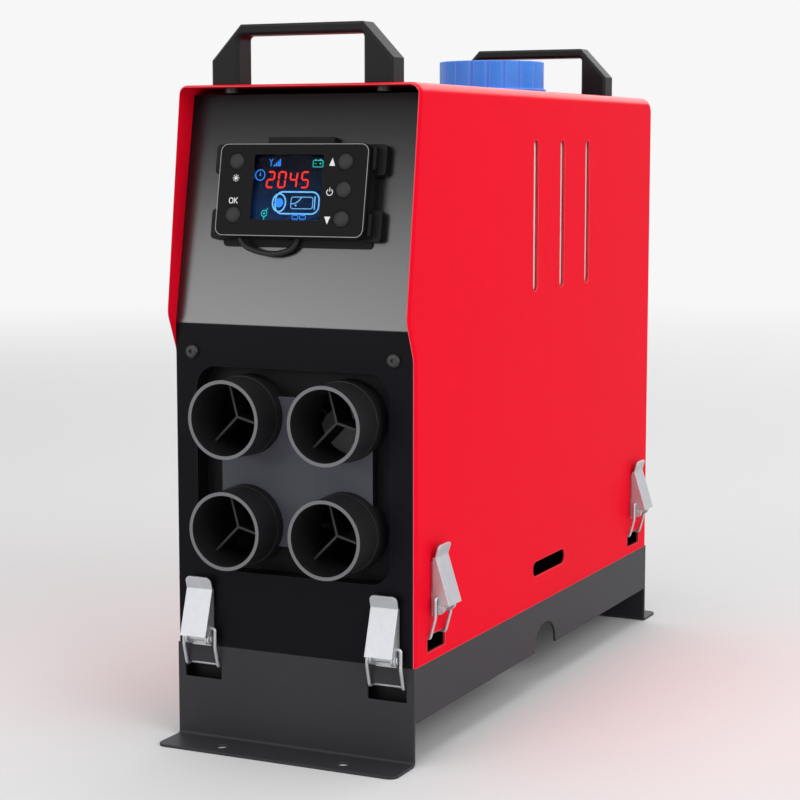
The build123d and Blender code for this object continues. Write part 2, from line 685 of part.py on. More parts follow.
with BuildPart() as panel_screws:
    # button-head screws with hexagon sockets, two in front and two behind
    for plane in (facing_front(front_y), facing_rear(rear_y)):
        with BuildSketch(plane) as heads:
            with Locations(*[(sign * panel_screw_x, PANEL_SCREW_Z) for sign in (-1, 1)]):
                Circle(SCREW_HEAD_DIA / 2)
        extrude(heads.sketch, amount=SCREW_HEAD_HEIGHT)
        rims = edges().filter_by(GeomType.CIRCLE).group_by(Axis.Y)[0 if plane.z_dir.Y < 0 else -1]
        fillet(rims, SCREW_HEAD_HEIGHT * HEAD_ROUND)
        with BuildSketch(plane) as shanks:
            with Locations(*[(sign * panel_screw_x, PANEL_SCREW_Z) for sign in (-1, 1)]):
                Circle(SCREW_DIA / 2)
        extrude(shanks.sketch, amount=-(PANEL_SHEET + BASE_SHEET + 2 * SEAM_GAP))
        with BuildSketch(plane.offset(SCREW_HEAD_HEIGHT)) as sockets:
            with Locations(*[(sign * panel_screw_x, PANEL_SCREW_Z) for sign in (-1, 1)]):
                RegularPolygon(HEX_SOCKET / 2, 6, major_radius=False)
        extrude(sockets.sketch, amount=-SOCKET_DEPTH, mode=Mode.SUBTRACT)
    # four small screws round the intake grille
    with BuildSketch(facing_rear(rear_y + GRILLE_SHEET)) as grille_heads:
        with Locations((0, OUTLET_Z)):
            with PolarLocations(GRILLE_SCREW_CIRCLE / 2, 4, start_angle=45):
                Circle(GRILLE_SCREW_DIA)
    extrude(grille_heads.sketch, amount=GRILLE_SCREW_DIA / 2)
    with BuildSketch(facing_rear(rear_y + GRILLE_SHEET)) as grille_shanks:
        with Locations((0, OUTLET_Z)):
            with PolarLocations(GRILLE_SCREW_CIRCLE / 2, 4, start_angle=45):
                Circle(GRILLE_SCREW_DIA / 2)
    extrude(grille_shanks.sketch, amount=-(GRILLE_SHEET + PANEL_SHEET + SEAM_GAP))
save(panel_screws.part, "panel_screws")

# ---------------------------------------------------------------- outlet manifold and duct

flange_front = front_y + PANEL_SHEET
recess_floor = front_y + RECESS_DEPTH
manifold_back = recess_floor + MANIFOLD_WALL
pocket_width = RECESS_WIDTH + 2 * SEAM_GAP
pocket_height = RECESS_HEIGHT + 2 * SEAM_GAP
bore_radius = OUTLET_DIA / 2 - OUTLET_WALL
root_radius = OUTLET_DIA / 2 + OUTLET_STOP

with BuildPart() as outlet_manifold:
    # moulded pan behind the recess opening
    with BuildSketch(facing_front(manifold_back)):
        with Locations((0, OUTLET_Z)):
            RectangleRounded(pocket_width + 2 * MANIFOLD_WALL, pocket_height + 2 * MANIFOLD_WALL,
                             RECESS_CORNER + MANIFOLD_WALL)
    extrude(amount=manifold_back - flange_front)
    with BuildSketch(facing_front(flange_front)):
        with Locations((0, OUTLET_Z)):
            RectangleRounded(pocket_width + 2 * MANIFOLD_FLANGE, pocket_height + 2 * MANIFOLD_FLANGE,
                             RECESS_CORNER + MANIFOLD_FLANGE)
    extrude(amount=-MANIFOLD_WALL)
    with BuildSketch(facing_front(flange_front)):
        with Locations((0, OUTLET_Z)):
            RectangleRounded(pocket_width, pocket_height, RECESS_CORNER)
    extrude(amount=flange_front - recess_floor, mode=Mode.SUBTRACT)
    # raised pad with a socket for each outlet tube, and a port behind each
    with BuildSketch(facing_front(recess_floor)):
        with Locations((0, OUTLET_Z)):
            RectangleRounded(PAD_WIDTH, PAD_HEIGHT, PAD_CORNER)
    extrude(amount=PAD_PROUD)
    with BuildSketch(facing_front(recess_floor)) as sockets:
        with Locations((0, OUTLET_Z)):
            with Locations(*outlet_spots):
                Circle(root_radius + RUNNING_GAP)
    extrude(sockets.sketch, amount=PAD_PROUD, mode=Mode.SUBTRACT)
    with BuildSketch(facing_front(manifold_back)) as ports:
        with Locations((0, OUTLET_Z)):
            with Locations(*outlet_spots):
                Circle(bore_radius)
    extrude(ports.sketch, amount=MANIFOLD_WALL, mode=Mode.SUBTRACT)
save(outlet_manifold.part, "outlet_manifold")

with BuildPart() as outlet_tubes:
    # four tubes standing in the sockets, a little thicker behind the hose's grip
    tube_length = recess_floor - outlet_front
    with BuildSketch(facing_front(recess_floor)) as roots:
        with Locations((0, OUTLET_Z)):
            with Locations(*outlet_spots):
                Circle(root_radius)
    extrude(roots.sketch, amount=tube_length - OUTLET_GRIP)
    with BuildSketch(facing_front(recess_floor)) as barrels:
        with Locations((0, OUTLET_Z)):
            with Locations(*outlet_spots):
                Circle(OUTLET_DIA / 2)
    extrude(barrels.sketch, amount=tube_length)
    with BuildSketch(facing_front(recess_floor)) as bores:
        with Locations((0, OUTLET_Z)):
            with Locations(*outlet_spots):
                Circle(bore_radius)
    extrude(bores.sketch, amount=tube_length, mode=Mode.SUBTRACT)
    # guide vanes inside each tube, from its rear nearly to its rim
    with BuildSketch(facing_front(recess_floor)) as vanes:
        with Locations((0, OUTLET_Z)):
            with Locations(*outlet_spots):
                for turn in range(VANE_COUNT):
                    angle = VANE_START + turn * 360.0 / VANE_COUNT
                    reach = bore_radius + OUTLET_WALL / 2
                    with Locations((reach / 2 * math.cos(math.radians(angle)),
                                    reach / 2 * math.sin(math.radians(angle)))):
                        Rectangle(reach, VANE_SHEET, rotation=angle)
    extrude(vanes.sketch, amount=tube_length - VANE_SET)
save(outlet_tubes.part, "outlet_tubes")

with BuildPart() as air_duct:
    # from the heater's round nozzle to the back of the manifold
    duct_width = OUTLET_PITCH + OUTLET_DIA + DUCT_EASE
    with BuildSketch(facing_front(manifold_back)):
        with Locations((0, OUTLET_Z)):
            RectangleRounded(duct_width, duct_width, DUCT_CORNER)
    with BuildSketch(facing_front(nozzle_y)):
        with Locations((0, OUTLET_Z)):
            Circle(NOZZLE_DIA / 2 + SEAM_GAP + DUCT_WALL)
    loft()
    with BuildSketch(facing_front(nozzle_y)):
        with Locations((0, OUTLET_Z)):
            Circle(NOZZLE_DIA / 2 + SEAM_GAP + DUCT_WALL)
    extrude(amount=-DUCT_OVERLAP)
    with BuildPart(mode=Mode.SUBTRACT):
        with BuildSketch(facing_front(manifold_back)):
            with Locations((0, OUTLET_Z)):
                RectangleRounded(duct_width - 2 * DUCT_WALL, duct_width - 2 * DUCT_WALL,
                                 DUCT_CORNER - DUCT_WALL)
        with BuildSketch(facing_front(nozzle_y)):
            with Locations((0, OUTLET_Z)):
                Circle(NOZZLE_DIA / 2 + SEAM_GAP)
        loft()
        with BuildSketch(facing_front(nozzle_y)):
            with Locations((0, OUTLET_Z)):
                Circle(NOZZLE_DIA / 2 + SEAM_GAP)
        extrude(amount=-DUCT_OVERLAP)
save(air_duct.part, "air_duct")

# ---------------------------------------------------------------- handles

handle_top = COVER_TOP + HANDLE_HEIGHT


def handle(y):
    """A moulded carrying loop with cut top corners, standing on the roof at y."""
    with BuildPart() as loop:
        half = HANDLE_WIDTH / 2
        inner = half - HANDLE_LEG
        top_flat = half - HANDLE_CORNER_RUN
        bar_z = handle_top - HANDLE_BAR
        with BuildSketch(facing_front(y)) as outline:
            with BuildLine():
                Polyline(
                    (-half, COVER_TOP), (-half, handle_top - HANDLE_CORNER_DROP),
                    (-top_flat, handle_top), (top_flat, handle_top),
                    (half, handle_top - HANDLE_CORNER_DROP), (half, COVER_TOP), close=True)
            make_face()
            with BuildLine():
                FilletPolyline((-inner, COVER_TOP), (-inner, bar_z), (inner, bar_z), (inner, COVER_TOP),
                               close=True, radius=[0, WINDOW_CORNER, WINDOW_CORNER, 0])
            make_face(mode=Mode.SUBTRACT)
        extrude(outline.sketch, amount=HANDLE_DEPTH / 2, both=True)
        rims = [edge for face in faces().filter_by(Axis.Y) for edge in face.outer_wire().edges()
                if edge.center().Z > COVER_TOP + HANDLE_EDGE / 2]
        chamfer(rims, HANDLE_EDGE)
        # screw holes up into the legs
        with BuildSketch(Plane.XY.offset(COVER_TOP)) as holes:
            with Locations((0, y)):
                with GridLocations(HANDLE_WIDTH - HANDLE_LEG, 0, 2, 1):
                    Circle(HANDLE_SCREW_DIA / 2)
        extrude(holes.sketch, amount=HANDLE_SCREW_REACH, mode=Mode.SUBTRACT)
    return loop.part


with BuildPart() as handles:
    add([handle(front_handle_y), handle(rear_handle_y)])
save(handles.part, "handles")

with BuildPart() as handle_screws:
    with BuildSketch(Plane.XY.offset(roof_under)):
        with Locations(*[(0, y) for y in (front_handle_y, rear_handle_y)]):
            with GridLocations(HANDLE_WIDTH - HANDLE_LEG, 0, 2, 1):
                Circle(SCREW_HEAD_DIA / 2)
    extrude(amount=-HANDLE_SCREW_HEAD)
    with BuildSketch(Plane.XY.offset(roof_under)):
        with Locations(*[(0, y) for y in (front_handle_y, rear_handle_y)]):
            with GridLocations(HANDLE_WIDTH - HANDLE_LEG, 0, 2, 1):
                Circle(HANDLE_SCREW_DIA / 2)
    extrude(amount=COVER_SHEET + HANDLE_SCREW_REACH)
save(handle_screws.part, "handle_screws")

# ---------------------------------------------------------------- fuel tank, shelf, cap

neck_top = COVER_TOP + NECK_RISE
neck_bore = NECK_DIA / 2 - NECK_WALL
tank_middle = (tank_front_y + tank_rear_y) / 2
tank_length = tank_rear_y - tank_front_y

with BuildPart() as tank_shelf:
    # folded shelf across the case, screwed to both panels by its turned-down ends
    with BuildSketch(side_view):
        with BuildLine():
            shelf_line = Polyline((panel_back + SEAM_GAP, shelf_flange_z), (panel_back + SEAM_GAP, shelf_top),
                                  (rear_y - PANEL_SHEET - SEAM_GAP, shelf_top),
                                  (rear_y - PANEL_SHEET - SEAM_GAP, shelf_flange_z))
            offset(shelf_line, amount=BASE_SHEET, side=Side.RIGHT)
        make_face()
    extrude(amount=lip_outer - SEAM_GAP, both=True)
    with BuildSketch(facing_rear(0)):
        with Locations(*[(sign * panel_screw_x, PANEL_SCREW_Z) for sign in (-1, 1)]):
            Circle(SCREW_DIA / 2)
    extrude(amount=CASE_LENGTH, both=True, mode=Mode.SUBTRACT)
    # holes for the fuel line and for warm air to rise past the tank
    with BuildSketch(Plane.XY.offset(shelf_top)):
        with Locations((line_x, line_y)):
            Circle(LINE_DIA / 2 + PIPE_HOLE_GAP)
        with Locations((0, (tank_front_y + front_y) / 2)):
            SlotOverall(SHELF_SLOT, LINE_DIA * 2)
    extrude(amount=-2 * BASE_SHEET, mode=Mode.SUBTRACT)
save(tank_shelf.part, "tank_shelf")

with BuildPart() as fuel_tank:
    with BuildSketch(Plane.XY.offset(shelf_top)):
        with Locations((0, tank_middle)):
            RectangleRounded(tank_width, tank_length, TANK_CORNER)
    extrude(amount=TANK_HEIGHT)
    fillet(fuel_tank.faces().filter_by(Axis.Z).edges(), TANK_CORNER / 2)
    with BuildSketch(Plane.XY.offset(shelf_top + TANK_HEIGHT)):
        with Locations((0, neck_y)):
            Circle(NECK_DIA / 2)
    extrude(amount=neck_top - shelf_top - TANK_HEIGHT)
    with BuildPart(mode=Mode.SUBTRACT):
        with BuildSketch(Plane.XY.offset(shelf_top + TANK_WALL)):
            with Locations((0, tank_middle)):
                RectangleRounded(tank_width - 2 * TANK_WALL, tank_length - 2 * TANK_WALL,
                                 TANK_CORNER - TANK_WALL)
        extrude(amount=TANK_HEIGHT - 2 * TANK_WALL)
        with BuildSketch(Plane.XY.offset(neck_top)):
            with Locations((0, neck_y)):
                Circle(neck_bore)
        extrude(amount=-(neck_top - shelf_top - TANK_HEIGHT + 2 * TANK_WALL))
    # outlet nipple under the floor, over the shelf's hole
    with BuildSketch(Plane.XY.offset(shelf_top)):
        with Locations((line_x, line_y)):
            Circle(LINE_DIA / 2)
            Circle(LINE_BORE / 2, mode=Mode.SUBTRACT)
    extrude(amount=-LINE_NIPPLE)
    with BuildSketch(Plane.XY.offset(shelf_top)):
        with Locations((line_x, line_y)):
            Circle(LINE_BORE / 2)
    extrude(amount=2 * TANK_WALL, mode=Mode.SUBTRACT)
save(fuel_tank.part, "fuel_tank")

seal_foot = neck_top + SEAT_GAP
cap_foot = COVER_TOP + CAP_LIFT_GAP
cap_roof = seal_foot + SEAL_HEIGHT + RUNNING_GAP
cap_bore = CAP_DIA / 2 - CAP_RIM - CAP_WALL

with BuildPart() as cap_seal:
    with BuildSketch(Plane.XY.offset(seal_foot)):
        with Locations((0, neck_y)):
            Circle(cap_bore - SEAT_GAP)
            Circle(neck_bore, mode=Mode.SUBTRACT)
    extrude(amount=SEAL_HEIGHT)
save(cap_seal.part, "cap_seal")

with BuildPart() as fuel_cap:
    # ribbed cup over the neck, with a rim at its foot
    grip_radius = CAP_DIA / 2 - CAP_RIM
    with BuildSketch(Plane.XY.offset(cap_foot)):
        with Locations((0, neck_y)):
            Circle(CAP_DIA / 2)
    extrude(amount=CAP_RIM_HEIGHT)
    with BuildSketch(Plane.XY.offset(cap_foot)):
        with Locations((0, neck_y)):
            Circle(grip_radius)
    extrude(amount=CAP_HEIGHT)
    fillet(fuel_cap.edges().group_by(Axis.Z)[-1], CAP_EDGE)
    with BuildSketch(Plane.XY.offset(cap_foot + CAP_RIM_HEIGHT)):
        with Locations((0, neck_y)):
            with PolarLocations(grip_radius + CAP_GROOVE / 4, CAP_GRIP_COUNT):
                Circle(CAP_GROOVE / 2)
    extrude(amount=CAP_HEIGHT, mode=Mode.SUBTRACT)
    with BuildSketch(Plane.XY.offset(cap_foot)):
        with Locations((0, neck_y)):
            Circle(cap_bore)
    extrude(amount=cap_roof - cap_foot, mode=Mode.SUBTRACT)
save(fuel_cap.part, "fuel_cap")

# ---------------------------------------------------------------- controller

housing_floor = CRADLE_DEPTH + SEAM_GAP             # back cover's back, off the console
cover_split = housing_floor + BACK_COVER_DEPTH
face_under = CONTROL_PROUD - CONTROL_WALL
board_front = cover_split - SEAM_GAP
button_spots = {
    "button_set": (BUTTON_SET_COLUMN, BUTTON_ROW),
    "button_ok": (BUTTON_SET_COLUMN, BUTTON_OK_RISE),
    "button_up": (BUTTON_COLUMN, BUTTON_ROW),
    "button_power": (BUTTON_COLUMN, BUTTON_POWER_RISE),
    "button_down": (BUTTON_COLUMN, -BUTTON_ROW),
}
housing_inner = (CONTROL_WIDTH - 2 * CONTROL_WALL, CONTROL_HEIGHT - 2 * CONTROL_WALL,
                 CONTROL_CORNER - CONTROL_WALL)

with BuildPart() as control_cradle:
    # open frame screwed to the console, with a tab above and hooks at both sides
    with BuildSketch(console):
        RectangleRounded(CONTROL_WIDTH, CONTROL_HEIGHT, CONTROL_CORNER)
        with Locations((0, CRADLE_TAB_RISE / 2)):
            Rectangle(CRADLE_TAB_WIDTH, CONTROL_HEIGHT + CRADLE_TAB_RISE)
        for sign in (-1, 1):
            with Locations(*[(sign * CONTROL_WIDTH / 2, rise * CRADLE_EAR_RISE) for rise in (-1, 1)]):
                RectangleRounded(2 * CRADLE_EAR_OUT, CRADLE_EAR_HEIGHT, CRADLE_EAR_CORNER)
        RectangleRounded(CONTROL_WIDTH - 2 * CRADLE_RAIL, CONTROL_HEIGHT - 2 * CRADLE_RAIL,
                         CONTROL_CORNER / 2, mode=Mode.SUBTRACT)
        with Locations((LEAD_HOLE_X, -CONTROL_HEIGHT / 2)):
            Rectangle(3 * LEAD_DIA, 3 * CRADLE_RAIL, mode=Mode.SUBTRACT)
    extrude(amount=CRADLE_DEPTH)
    with BuildSketch(console) as lip:
        with Locations((0, -CONTROL_HEIGHT / 2)):
            RectangleRounded(CONTROL_WIDTH, 2 * CRADLE_LIP_DROP, CRADLE_EAR_CORNER)
    extrude(lip.sketch, amount=CRADLE_LIP_SHEET)
    # the hooks reach forward round the housing's sides
    for sign in (-1, 1):
        with BuildSketch(console.offset(CRADLE_DEPTH)) as hooks:
            hook_x = sign * (CONTROL_WIDTH / 2 + SEAT_GAP + CRADLE_HOOK / 2)
            with Locations(*[(hook_x, rise * CRADLE_EAR_RISE) for rise in (-1, 1)]):
                Rectangle(CRADLE_HOOK, CRADLE_EAR_HEIGHT - 2 * CRADLE_EAR_CORNER)
        extrude(hooks.sketch, amount=CRADLE_HOOK_REACH)
save(control_cradle.part, "control_cradle")

with BuildPart() as control_back:
    with BuildSketch(console.offset(housing_floor)):
        RectangleRounded(CONTROL_WIDTH, CONTROL_HEIGHT, CONTROL_CORNER)
    extrude(amount=BACK_COVER_DEPTH)
    fillet(control_back.faces().sort_by(Axis(console.origin, console.z_dir))[0].edges(), BACK_COVER_EDGE)
    with BuildSketch(console.offset(housing_floor + CONTROL_WALL)):
        RectangleRounded(*housing_inner)
    extrude(amount=BACK_COVER_DEPTH, mode=Mode.SUBTRACT)
    with BuildSketch(console.offset(housing_floor)):
        with Locations((LEAD_EXIT_X, -CONTROL_HEIGHT / 2)):
            Rectangle(LEAD_DIA + 2 * SEAM_GAP, 4 * CONTROL_WALL)
    extrude(amount=BACK_COVER_DEPTH, mode=Mode.SUBTRACT)
save(control_back.part, "control_back")

with BuildPart() as control_face:
    with BuildSketch(console.offset(cover_split)):
        RectangleRounded(CONTROL_WIDTH, CONTROL_HEIGHT, CONTROL_CORNER)
    extrude(amount=CONTROL_PROUD - cover_split)
    fillet(control_face.faces().sort_by(Axis(console.origin, console.z_dir))[-1].edges(), FACE_EDGE)
    with BuildSketch(console.offset(cover_split)):
        RectangleRounded(*housing_inner)
    extrude(amount=face_under - cover_split, mode=Mode.SUBTRACT)
    with BuildSketch(console.offset(CONTROL_PROUD)):
        with Locations((SCREEN_X, SCREEN_RISE)):
            RectangleRounded(SCREEN_WIDTH, SCREEN_HEIGHT, SCREEN_CORNER)
        with Locations(*button_spots.values()):
            Circle(BUTTON_DIA / 2 + BUTTON_GAP)
    extrude(amount=-2 * CONTROL_WALL, mode=Mode.SUBTRACT)
save(control_face.part, "control_face")

with BuildPart() as display_lens:
    # clear window with a step behind the face that holds it
    with BuildSketch(console.offset(CONTROL_PROUD - LENS_SUNK)):
        with Locations((SCREEN_X, SCREEN_RISE)):
            RectangleRounded(SCREEN_WIDTH - 2 * SEAM_GAP, SCREEN_HEIGHT - 2 * SEAM_GAP,
                             SCREEN_CORNER - SEAM_GAP)
    extrude(amount=-(CONTROL_WALL - LENS_SUNK))
    with BuildSketch(console.offset(face_under)):
        with Locations((SCREEN_X, SCREEN_RISE)):
            RectangleRounded(SCREEN_WIDTH + LENS_STEP, SCREEN_HEIGHT + LENS_STEP, SCREEN_CORNER)
    extrude(amount=-LENS_DEPTH)
save(display_lens.part, "display_lens")

with BuildPart() as display_module:
    module_front = face_under - LENS_DEPTH - SEAM_GAP
    with BuildSketch(console.offset(module_front)):
        with Locations((SCREEN_X, SCREEN_RISE)):
            RectangleRounded(SCREEN_WIDTH + LENS_STEP, SCREEN_HEIGHT + LENS_STEP,
                             SCREEN_CORNER - SEAM_GAP)
    extrude(amount=board_front - module_front)
save(display_module.part, "display_module")

with BuildPart() as circuit_board:
    with BuildSketch(console.offset(board_front)):
        RectangleRounded(housing_inner[0] - 2 * SEAM_GAP, housing_inner[1] - 2 * SEAM_GAP,
                         housing_inner[2] - SEAM_GAP)
        with Locations((LEAD_EXIT_X, -CONTROL_HEIGHT / 2 + CONTROL_WALL)):
            Rectangle(3 * LEAD_DIA, 4 * LEAD_DIA, mode=Mode.SUBTRACT)
    extrude(amount=-BOARD_SHEET)
    # low switch block under each button
    switch_height = face_under - BUTTON_FLANGE - SEAM_GAP - BUTTON_TRAVEL - SEAT_GAP - board_front
    with BuildSketch(console.offset(board_front)):
        with Locations(*button_spots.values()):
            Rectangle(SWITCH_SIDE, SWITCH_SIDE)
    extrude(amount=switch_height)
save(circuit_board.part, "circuit_board")

for name, spot in button_spots.items():
    with BuildPart() as button:
        # domed key with a flange that keeps it behind the face
        with BuildSketch(console.offset(face_under - SEAM_GAP)):
            with Locations(spot):
                Circle(BUTTON_DIA / 2)
        extrude(amount=CONTROL_WALL + SEAM_GAP + BUTTON_PROUD)
        fillet(button.faces().sort_by(Axis(console.origin, console.z_dir))[-1].edges(), BUTTON_PROUD)
        with BuildSketch(console.offset(face_under - SEAM_GAP)):
            with Locations(spot):
                Circle(BUTTON_DIA / 2 + BUTTON_FLANGE)
        extrude(amount=-BUTTON_FLANGE)
    save(button.part, name)


def on_console(x, rise, out):
    """A point given across, up and out from the middle of the console."""
    return console.from_local_coords((x, rise, out))


def wire_tube(points, radii, diameter):
    """A round tube along straight runs joined by tangent arcs."""
    with BuildPart() as tube:
        with BuildLine() as route:
            FilletPolyline(*points, radius=radii)
        start = route.line @ 0
        with BuildSketch(Plane(origin=start, z_dir=route.line % 0)):
            Circle(diameter / 2)
        sweep()
    return tube.part


lead_points = [on_console(*spot) for spot in LEAD_ROUTE]
save(wire_tube(lead_points, LEAD_RADII, LEAD_DIA), "control_lead")

with BuildPart() as lead_grommet:
    hole = Plane(origin=on_console(LEAD_HOLE_X, LEAD_HOLE_RISE, 0), x_dir=(1, 0, 0), z_dir=console.z_dir)
    with BuildSketch(hole.offset(-PANEL_SHEET - GROMMET_LIP)):
        Circle(LEAD_HOLE_DIA / 2)
    extrude(amount=PANEL_SHEET + 2 * GROMMET_LIP)
    with BuildSketch(hole):
        Circle(LEAD_HOLE_DIA / 2 + GROMMET_LIP)
    extrude(amount=GROMMET_LIP)
    with BuildSketch(hole.offset(-PANEL_SHEET)):
        Circle(LEAD_HOLE_DIA / 2 + GROMMET_LIP)
    extrude(amount=-GROMMET_LIP)
    with BuildSketch(hole):
        Circle(LEAD_DIA / 2)
    extrude(amount=3 * PANEL_SHEET, both=True, mode=Mode.SUBTRACT)
save(lead_grommet.part, "lead_grommet")

# ---------------------------------------------------------------- toggle latches

# One latch is drawn in its own frame: x across, y up the wall, z out of the wall.
# In its side view, x runs out of the wall and y up it.
latch_side = Plane(origin=(0, 0, 0), x_dir=(0, 0, 1), z_dir=(-1, 0, 0))
pivot = (PIVOT_OUT, 0)
heel = Vector(LEVER_HEEL_OUT, LEVER_HEEL_UP)
shoulder = Vector(LEVER_SHOULDER_OUT, LEVER_SHOULDER_UP)
tip = Vector(LEVER_TIP_OUT, LEVER_TIP_UP)
tab_inward = (tip - shoulder).normalized().rotate(Axis.Z, 90) * LEVER_SHEET
web_inward = (shoulder - heel).normalized().rotate(Axis.Z, 90) * LEVER_SHEET
cheek_back = PLATE_SHEET + SEAT_GAP
ear_out = LEVER_WIDTH / 2 - LEVER_SHEET - SEAT_GAP  # outer face of the plate's ears
hook_rise = SLOT_TOP - HOOK_GAP - WIRE_DIA / 2

with BuildPart() as lever:
    with BuildSketch(latch_side):
        with BuildLine():
            Polyline((cheek_back, LEVER_HEEL_UP), heel, shoulder,
                     (cheek_back, LEVER_SHOULDER_UP), close=True)
        make_face()
        with Locations(pivot):
            Circle(LEVER_LOBE)
    extrude(amount=LEVER_WIDTH / 2, both=True)
    # hollow between the cheeks, open to the wall and below
    with BuildSketch(latch_side):
        with BuildLine():
            Polyline((-1, -2 * LEVER_LOBE), (LEVER_HEEL_OUT, -2 * LEVER_LOBE), heel + web_inward,
                     shoulder + web_inward, (-1, LEVER_SHOULDER_UP + 1), close=True)
        make_face()
    extrude(amount=LEVER_WIDTH / 2 - LEVER_SHEET, both=True, mode=Mode.SUBTRACT)
    # thumb tab with rounded corners
    with BuildSketch(latch_side):
        with BuildLine():
            Polyline(shoulder, tip, tip + tab_inward, shoulder + web_inward, close=True)
        make_face()
    extrude(amount=LEVER_WIDTH / 2, both=True)
    tab_ends = [edge for edge in lever.edges()
                if edge.center().Y > LEVER_TIP_UP - LEVER_SHEET
                and abs(abs(edge.center().X) - LEVER_WIDTH / 2) < SEAM_GAP]
    fillet(tab_ends, LEVER_TAB_CORNER)
    # pivot and wire-eye holes through both cheeks
    with BuildSketch(latch_side):
        with Locations(pivot):
            Circle(PIVOT_DIA / 2 + RUNNING_GAP)
        with Locations((EYE_OUT, EYE_UP)):
            Circle(WIRE_DIA / 2 + RUNNING_GAP)
    extrude(amount=LEVER_WIDTH, both=True, mode=Mode.SUBTRACT)

with BuildPart() as plate:
    with BuildSketch():
        with Locations((0, (PLATE_FOOT + PLATE_HEAD) / 2)):
            RectangleRounded(PLATE_WIDTH, PLATE_HEAD - PLATE_FOOT, PLATE_CORNER)
        with Locations(*[(0, up) for up in RIVET_UPS]):
            Circle(RIVET_DIA / 2, mode=Mode.SUBTRACT)
    extrude(amount=PLATE_SHEET)
    for sign in (-1, 1):
        with BuildSketch(latch_side.offset(-sign * ear_out)) as ear:
            with BuildLine():
                Polyline((0, PLATE_FOOT), (PIVOT_OUT, -EAR_RADIUS), (PIVOT_OUT, EAR_RADIUS),
                         (0, -PLATE_FOOT + EAR_RADIUS), close=True)
            make_face()
            with Locations(pivot):
                Circle(EAR_RADIUS)
                Circle(PIVOT_DIA / 2, mode=Mode.SUBTRACT)
        extrude(ear.sketch, amount=sign * PLATE_SHEET)

with BuildPart() as pivot_rivet:
    with BuildSketch(latch_side):
        with Locations(pivot):
            Circle(PIVOT_DIA / 2)
    extrude(amount=LEVER_WIDTH / 2 + PIN_HEAD + SEAM_GAP, both=True)
    for sign in (-1, 1):
        with BuildSketch(latch_side.offset(sign * (LEVER_WIDTH / 2 + SEAM_GAP))) as head:
            with Locations(pivot):
                Circle(PIVOT_DIA / 2 + PIN_HEAD)
        extrude(head.sketch, amount=sign * PIN_HEAD)

with BuildPart() as rivet:
    with BuildSketch(Plane.XY.offset(PLATE_SHEET)):
        Circle(RIVET_HEAD_DIA / 2)
    extrude(amount=RIVET_HEAD)
    fillet(rivet.edges().group_by(Axis.Z)[-1], RIVET_HEAD * HEAD_ROUND)
    with BuildSketch(Plane.XY.offset(PLATE_SHEET)):
        Circle(RIVET_DIA / 2)
    extrude(amount=-(PLATE_SHEET + PANEL_SHEET + RIVET_HEAD))
    with BuildSketch(Plane.XY.offset(-PANEL_SHEET)):
        Circle(RIVET_HEAD_DIA / 2)
    extrude(amount=-RIVET_HEAD)

# wire bail: in through the lever's cheeks, down both sides, round under the slot's top
eye_inside = LEVER_WIDTH / 2 - LEVER_SHEET - WIRE_TAIL
half_bail = [
    (eye_inside, EYE_UP, EYE_OUT),
    (WIRE_SPREAD / 2, EYE_UP, EYE_OUT),
    (WIRE_SPREAD / 2, WIRE_KNEE, EYE_OUT),
    (WIRE_SPREAD / 2, hook_rise, WIRE_HEEL_OUT),
    (WIRE_SPREAD / 2, hook_rise, -HOOK_INSIDE),
]
bail_points = half_bail + [(-x, up, out) for x, up, out in reversed(half_bail)]
bail_radii = [WIRE_BEND, WIRE_SWEEP, WIRE_BEND, WIRE_BEND, WIRE_BEND, WIRE_BEND, WIRE_SWEEP, WIRE_BEND]
bail = wire_tube(bail_points, bail_radii, WIRE_DIA)

for name, frame in latch_frames.items():
    save(lever.part.moved(frame.location), f"latch_lever_{name}")
    save(bail.moved(frame.location), f"latch_bail_{name}")

spots = [frame.location for frame in latch_frames.values()]
with BuildPart() as latch_plates:
    add([plate.part.moved(spot) for spot in spots])
save(latch_plates.part, "latch_plates")

with BuildPart() as latch_rivets:
    add([pivot_rivet.part.moved(spot) for spot in spots])
    for spot in spots:
        add([rivet.part.moved(spot * Location((0, up, 0))) for up in RIVET_UPS])
save(latch_rivets.part, "latch_rivets")

# ---------------------------------------------------------------- heater core

core_bottom = OUTLET_Z - CORE_HEIGHT / 2
core_floor = core_bottom + CORE_WALL
motor_middle = (motor_front_y + motor_rear_y) / 2


def core_section(y, inset):
    """The case's rounded cross-section at y, drawn smaller by inset."""
    with BuildSketch(facing_rear(y)) as section:
        with Locations((0, OUTLET_Z)):
            RectangleRounded(CORE_WIDTH - 2 * inset, CORE_HEIGHT - 2 * inset, CORE_CORNER - inset)
    return section.sketch


def ring_face(y, diameter, bore=0.0):
    """A disc, or a ring if it has a bore, on the heater's axis at y."""
    with BuildSketch(facing_rear(y)) as ring:
        with Locations((0, OUTLET_Z)):
            Circle(diameter / 2)
            if bore:
                Circle(bore / 2, mode=Mode.SUBTRACT)
    return ring.sketch


